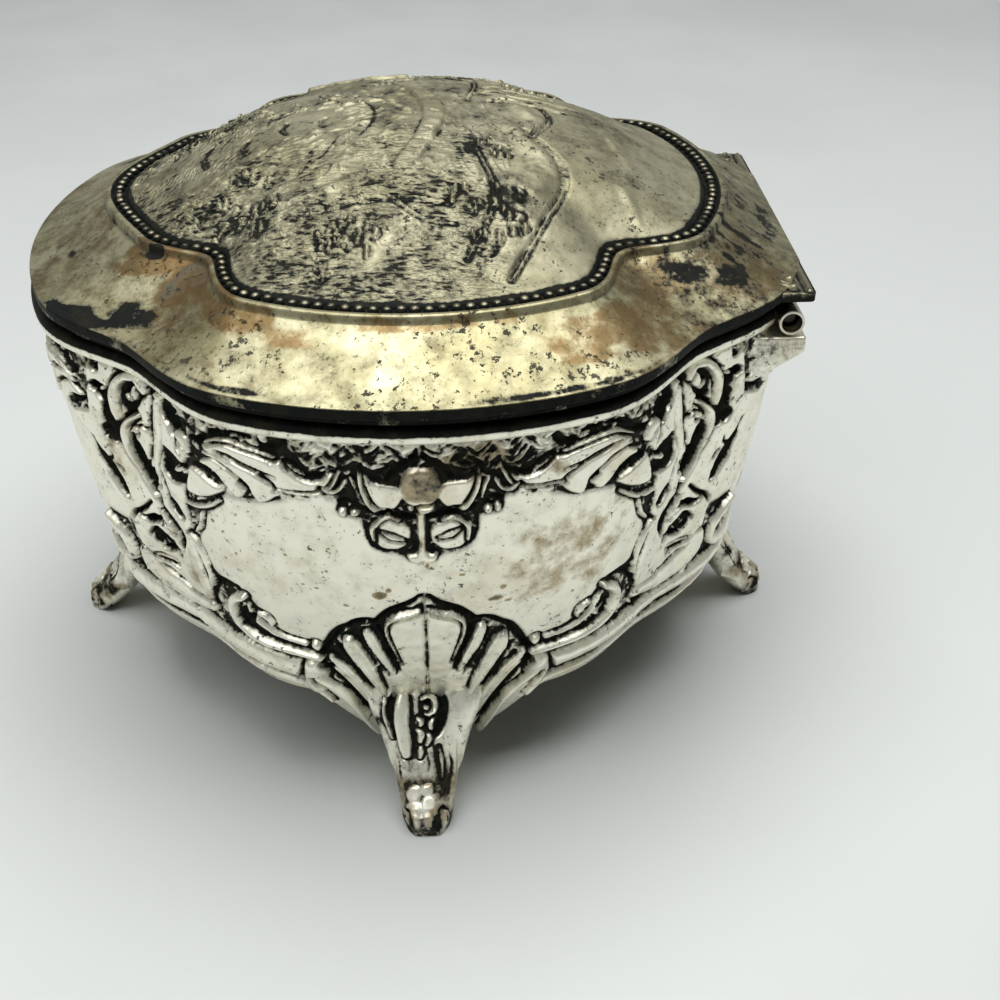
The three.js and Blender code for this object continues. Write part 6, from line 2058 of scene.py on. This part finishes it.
@dataclass(frozen=True)
class Plate:
    """Worn silver plate over a zinc casting, dark where hands and cloths don't reach and where
    shade is painted on the mesh.
    """

    name: str
    bright: tuple[float, float, float]
    warm: tuple[float, float, float]
    stain: tuple[float, float, float]
    patina: tuple[float, float, float]
    warm_share: float
    stain_share: float
    pits: float
    mottle: float
    roughness: float
    dirt_and_shade: float = 1.0
    combed: bool = False

    def material(self) -> bpy.types.Material:
        """Builds the material.

        Returns:
            The material.
        """
        g = Graph(self.name)
        dirt_and_shade, tint = g.attribute("dirt_and_shade"), g.attribute("tint")
        broad = g.noise(95, 5, 0.62, 0.3)
        middle = g.noise(420, 6, 0.65, 1.7)
        fine = g.noise(1900, 4, 0.6, 2.9)
        uneven = g.math("SUBTRACT", middle, 0.5)
        warmth = g.step(broad, 0.62 - 0.3 * self.warm_share, 0.78 - 0.2 * self.warm_share)
        colour = g.blend(warmth, self.bright, self.warm)
        stained = g.step(g.noise(60, 6, 0.7, 5.1), 0.72 - 0.25 * self.stain_share, 0.85, 0, 0.8)
        colour = g.blend(stained, colour, self.stain)
        cloudy = g.step(middle, 0.5 - 0.25 * self.mottle, 0.75, 0, 0.6 * self.mottle)
        colour = g.blend(cloudy, colour, tuple(0.4 * c for c in self.warm))
        tinted = g.math("ADD", tint, g.math("MULTIPLY", uneven, g.step(tint, 0.0, 0.2, 0, 1.3)))
        colour = g.blend(g.step(tinted, 0.1, 0.55, 0, 0.9), colour, self.stain)
        deep = g.step(tinted, 0.55, 0.85, 0, 0.95)
        colour = g.blend(deep, colour, tuple(0.3 * c for c in self.stain))
        grain = g.math("MULTIPLY", g.math("SUBTRACT", fine, 0.5), 0.6)
        soot_and_shade = g.math("ADD", g.math("MULTIPLY", dirt_and_shade, self.dirt_and_shade),
                      g.math("ADD", g.math("MULTIPLY", uneven, 1.15), grain))
        strokes = None
        if self.combed:
            for degrees, name, offset in ((84, "comb", 1.3), (146, "comb_left", 4.1)):
                line = g.streaks(2600, 3.1, math.radians(degrees), offset)
                part = g.math("MULTIPLY", g.math("SUBTRACT", line, 0.5), g.attribute(name))
                strokes = part if strokes is None else g.math("ADD", strokes, part)
            soot_and_shade = g.math("SUBTRACT", soot_and_shade, g.math("MULTIPLY", strokes, 1.7))
        speck = g.math("ADD", g.noise(2100, 3, 0.7, 4.4), g.math("MULTIPLY", uneven, 0.4))
        specks = g.step(speck, 0.7 - 0.09 * self.pits, 0.74 - 0.09 * self.pits, 0, 0.75)
        colour = g.blend(specks, colour, tuple(0.3 * c for c in self.warm))
        veil = g.step(soot_and_shade, 0.1, 0.5, 0, 0.45)
        colour = g.blend(veil, colour, tuple(0.35 * c for c in self.warm))
        fleck = g.noise(1150, 5, 0.72, 7.7)
        where = g.step(g.noise(150, 3, 0.6, 9.2), 0.42, 0.62, 0, 0.1)
        pit = 0.76 - 0.1 * self.pits
        pitted = g.step(g.math("ADD", fleck, where), pit, pit + 0.025)
        black = g.math("MAXIMUM", g.step(soot_and_shade, 0.38, 0.66), g.math("MULTIPLY", pitted, 0.8), True)
        earth = tuple(c + 0.05 * d for c, d in zip(self.patina, self.stain))
        colour = g.blend(black, colour, g.blend(g.step(middle, 0.42, 0.66), self.patina, earth))
        g.link(colour, g.shader.inputs["Base Color"])
        dull = g.math("MAXIMUM", black, g.math("MULTIPLY", deep, 0.7), True)
        g.link(g.step(dull, 0.15, 0.65, 1.0, 0.0), g.shader.inputs["Metallic"])
        g.link(g.step(black, 0.2, 0.9, 0.5, 0.04), g.shader.inputs["Specular IOR Level"])
        rough = g.math("ADD", g.step(dull, 0.1, 0.9, self.roughness, 0.5),
                       g.math("MULTIPLY", uneven, 0.22), True)
        g.link(rough, g.shader.inputs["Roughness"])
        low = g.math("SUBTRACT", g.math("MULTIPLY", fine, 0.35), g.math("MULTIPLY", pitted, 1.0))
        normal = g.bump(low, 0.05, g.bump(middle, 0.07))
        if strokes is not None:
            normal = g.bump(strokes, 0.5, normal)
        g.link(normal, g.shader.inputs["Normal"])
        return g.material


@dataclass(frozen=True)
class Velvet:
    """Short-pile velvet, crushed a little, with a pale sheen at its edges."""

    colour: tuple[float, float, float] = (0.18, 0.008, 0.022)
    light: tuple[float, float, float] = (0.34, 0.03, 0.06)

    def material(self) -> bpy.types.Material:
        """Builds the material.

        Returns:
            The material.
        """
        g = Graph("velvet")
        crush = g.step(g.noise(170, 4, 0.6), 0.42, 0.68)
        pile = g.noise(5200, 2, 0.5, 3.3)
        colour = g.blend(crush, self.colour, self.light)
        colour = g.blend(g.step(pile, 0.3, 0.7, 0, 0.35), colour, self.colour)
        g.link(colour, g.shader.inputs["Base Color"])
        g.shader.inputs["Roughness"].default_value = 0.95
        g.shader.inputs["Sheen Weight"].default_value = 0.7
        g.shader.inputs["Sheen Roughness"].default_value = 0.4
        g.link(g.bump(pile, 0.12, g.bump(crush, 0.1)), g.shader.inputs["Normal"])
        return g.material


@dataclass(frozen=True)
class Card:
    """Grey-brown board with short fibres."""

    colour: tuple[float, float, float] = (0.33, 0.26, 0.17)
    fibre: tuple[float, float, float] = (0.45, 0.38, 0.28)

    def material(self) -> bpy.types.Material:
        """Builds the material.

        Returns:
            The material.
        """
        g = Graph("board")
        fibres = g.noise(900, 5, 0.7, 0.4, (1, 6, 1))
        colour = g.blend(g.step(fibres, 0.4, 0.7), self.colour, self.fibre)
        g.link(colour, g.shader.inputs["Base Color"])
        g.shader.inputs["Roughness"].default_value = 0.9
        g.link(g.bump(fibres, 0.06), g.shader.inputs["Normal"])
        return g.material


@dataclass(frozen=True)
class DullMetal:
    """Plain metal with fine drawn lines and a little dirt."""

    name: str
    colour: tuple[float, float, float]
    dark: tuple[float, float, float]
    roughness: float
    lines: tuple[float, float, float]

    def material(self) -> bpy.types.Material:
        """Builds the material.

        Returns:
            The material.
        """
        g = Graph(self.name)
        drawn = g.noise(1600, 4, 0.6, 0.8, self.lines)
        spots = g.step(g.noise(480, 5, 0.7, 4.4), 0.52, 0.7, 0, 0.8)
        g.link(g.blend(spots, self.colour, self.dark), g.shader.inputs["Base Color"])
        g.shader.inputs["Metallic"].default_value = 1
        rough = g.math("ADD", g.math("MULTIPLY", drawn, 0.2), self.roughness - 0.1, True)
        g.link(rough, g.shader.inputs["Roughness"])
        g.link(g.bump(drawn, 0.02), g.shader.inputs["Normal"])
        return g.material


# Studio


@dataclass
class Studio:
    """Pale floor, soft lamps and the camera."""

    camera_at: tuple[float, float, float] = (0.152076, 0.001546, 0.113828)
    look: tuple[float, float, float] = (-0.8352, 0.0430, -0.5483)
    lens: float = 52.33
    floor: tuple[float, float, float] = (0.66, 0.685, 0.67)
    world: tuple[float, float, float] = (0.62, 0.64, 0.63)

    def build(self) -> None:
        """Makes the floor, the lamps, the world and the camera."""
        self.make_camera()
        self.make_floor()
        self.make_world()
        self.lamp("ceiling_light", (-0.01, 0.03, 0.60), 0.52, 0.52, 4.6)
        self.lamp("window_light", (0.22, -0.30, 0.50), 0.30, 0.30, 0.7)
        settings = bpy.context.scene.view_settings
        settings.view_transform = "Standard"

    def make_camera(self) -> None:
        """Camera of the photograph."""
        data = bpy.data.cameras.new("camera")
        data.lens, data.sensor_width = self.lens, 36
        data.clip_start = 0.005
        camera = bpy.data.objects.new("camera", data)
        camera.location = self.camera_at
        camera.rotation_mode = "QUATERNION"
        camera.rotation_quaternion = Vector(self.look).to_track_quat("-Z", "Y")
        bpy.context.scene.collection.objects.link(camera)
        bpy.context.scene.camera = camera

    def make_floor(self) -> None:
        """Pale table top, its colour darker towards the back as a painted falloff of light."""
        half = 1.6
        mesh = bpy.data.meshes.new("table")
        mesh.from_pydata([(-half, -half, 0), (half, -half, 0), (half, half, 0), (-half, half, 0)],
                         [], [(0, 1, 2, 3)])
        table = bpy.data.objects.new("table", mesh)
        bpy.context.scene.collection.objects.link(table)
        g = Graph("table_paint")
        mottle = g.step(g.noise(14, 4, 0.6), 0.3, 0.7)
        split = g.tree.nodes.new("ShaderNodeSeparateXYZ")
        g.link(g.place, split.inputs["Vector"])
        # Painted falloff of light: the floor's colour is darker towards the back.
        near = g.step(split.outputs["X"], -0.35, 0.12)
        paint = g.blend(near, tuple(0.8 * c for c in self.floor), self.floor)
        g.link(g.blend(g.step(mottle, 0, 1, 0, 0.5), paint, tuple(0.94 * c for c in self.floor)),
               g.shader.inputs["Base Color"])
        g.shader.inputs["Roughness"].default_value = 0.75
        g.shader.inputs["Specular IOR Level"].default_value = 0.25
        self.glow_far_floor(g)
        mesh.materials.append(g.material)

    def glow_far_floor(self, g: Graph) -> None:
        """Makes the far floor glow with painted light for the camera and in reflections, so that it
        runs into the pale background.
        """
        nodes, links = g.tree.nodes, g.tree.links
        reach = nodes.new("ShaderNodeVectorMath")
        reach.operation = "LENGTH"
        g.link(g.place, reach.inputs[0])
        rays = nodes.new("ShaderNodeLightPath")
        seen = g.math("MAXIMUM", rays.outputs["Is Camera Ray"], rays.outputs["Is Glossy Ray"])
        share = g.math("MULTIPLY", g.step(reach.outputs["Value"], 0.5, 1.3), seen)
        # Emission that stands in for the light on the far floor.
        glow, mix = nodes.new("ShaderNodeEmission"), nodes.new("ShaderNodeMixShader")
        glow.inputs["Color"].default_value = (*(0.6 * c for c in self.world), 1)
        out = next(node for node in nodes if node.bl_idname == "ShaderNodeOutputMaterial")
        g.link(share, mix.inputs["Fac"])
        links.new(g.shader.outputs["BSDF"], mix.inputs[1])
        links.new(glow.outputs["Emission"], mix.inputs[2])
        links.new(mix.outputs["Shader"], out.inputs["Surface"])

    def make_world(self) -> None:
        """Room light, brighter near the horizon than overhead."""
        world = bpy.data.worlds.new("room")
        world.use_nodes = True
        tree = world.node_tree
        tree.nodes.clear()
        place = tree.nodes.new("ShaderNodeTexCoord")
        split = tree.nodes.new("ShaderNodeSeparateXYZ")
        ramp = tree.nodes.new("ShaderNodeValToRGB")
        light = tree.nodes.new("ShaderNodeBackground")
        out = tree.nodes.new("ShaderNodeOutputWorld")
        tree.links.new(place.outputs["Generated"], split.inputs["Vector"])
        tree.links.new(split.outputs["Z"], ramp.inputs["Fac"])
        stops = ((0.0, 0.6), (0.25, 0.58), (0.45, 0.52), (0.7, 0.42), (1.0, 0.4))
        ramp.color_ramp.elements.remove(ramp.color_ramp.elements[1])
        for i, (place_at, level) in enumerate(stops):
            stop = ramp.color_ramp.elements[0] if i == 0 else ramp.color_ramp.elements.new(place_at)
            stop.position = place_at
            stop.color = (*(level * c for c in self.world), 1)
        tree.links.new(ramp.outputs["Color"], light.inputs["Color"])
        rays = tree.nodes.new("ShaderNodeLightPath")
        dim = tree.nodes.new("ShaderNodeMapRange")
        seen = tree.nodes.new("ShaderNodeMath")
        seen.operation = "MAXIMUM"
        tree.links.new(rays.outputs["Is Camera Ray"], seen.inputs[0])
        tree.links.new(rays.outputs["Is Glossy Ray"], seen.inputs[1])
        tree.links.new(seen.outputs["Value"], dim.inputs["Value"])
        dim.inputs["To Min"].default_value, dim.inputs["To Max"].default_value = 0.17, 1.0
        tree.links.new(dim.outputs["Result"], light.inputs["Strength"])
        tree.links.new(light.outputs["Background"], out.inputs["Surface"])
        bpy.context.scene.world = world

    def lamp(self, name: str, place: tuple[float, float, float], wide: float, deep: float,
             power: float) -> None:
        """Soft rectangular lamp that points at the box.

        Args:
            name: Name of the lamp.
            place: Where it hangs.
            wide: Its width in metres.
            deep: Its depth in metres.
            power: Its power in watts.
        """
        data = bpy.data.lights.new(name, "AREA")
        data.shape, data.size, data.size_y, data.energy = "RECTANGLE", wide, deep, power
        lamp = bpy.data.objects.new(name, data)
        lamp.location = place
        lamp.rotation_mode = "QUATERNION"
        lamp.rotation_quaternion = (Vector((0, 0, 0.03)) - Vector(place)).to_track_quat("-Z", "Y")
        bpy.context.scene.collection.objects.link(lamp)


def main() -> None:
    """Builds the box in its studio."""
    logging.basicConfig(level=logging.INFO, format="%(name)s: %(message)s")
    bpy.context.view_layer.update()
    silver = Plate("silver_plate", (0.96, 0.935, 0.80), (0.78, 0.72, 0.55), (0.40, 0.31, 0.17),
                   (0.010, 0.012, 0.010), 0.35, 0.1, 0.62, 0.4, 0.42).material()
    tarnished = Plate("tarnished_plate", (0.5, 0.47, 0.31), (0.35, 0.32, 0.18), (0.20, 0.125, 0.05),
                      (0.010, 0.012, 0.011), 0.7, 0.15, 1.0, 1.1, 0.5).material()
    picture = Plate("picture_plate", (0.42, 0.40, 0.28), (0.33, 0.31, 0.20), (0.22, 0.175, 0.09),
                    (0.010, 0.012, 0.011), 0.7, 0.2, 0.9, 1.0, 0.6, combed=True).material()
    bead = Plate("bead_plate", (0.33, 0.31, 0.22), (0.26, 0.24, 0.155), (0.22, 0.17, 0.09),
                 (0.010, 0.012, 0.011), 0.7, 0.3, 0.9, 1.0, 0.45).material()
    tube = Plate("plated_tube", (0.8, 0.78, 0.7), (0.55, 0.5, 0.38), (0.4, 0.3, 0.16),
                 (0.02, 0.02, 0.016), 0.5, 0.3, 0.3, 0.5, 0.28).material()
    wire = DullMetal("drawn_wire", (0.09, 0.087, 0.08), (0.03, 0.028, 0.025), 0.42,
                     (1, 14, 14)).material()
    sheet = DullMetal("plated_sheet", (0.5, 0.49, 0.45), (0.2, 0.19, 0.16), 0.45,
                      (10, 1, 1)).material()
    casting = BodyCasting()
    casting.build(silver)
    for i, (name, middle, _) in enumerate(casting.middles):
        CabrioleFoot().build(f"foot_{name}", math.radians(middle - 0.6), 81 + 3 * i, silver)
    HingeBracket().build(silver)
    LidCasting().build(tarnished, picture, bead)
    Hinge().build(tube, wire)
    Well().build(Velvet().material())
    for node, material in (("floor_plate", sheet), ("floor_card", Card().material())):
        holder = frame["nodes"][node]
        holder.data.materials.clear()
        holder.data.materials.append(material)
        log.info("kept node %s", node)
    Studio().build()


if __name__ == "__main__":
    main()
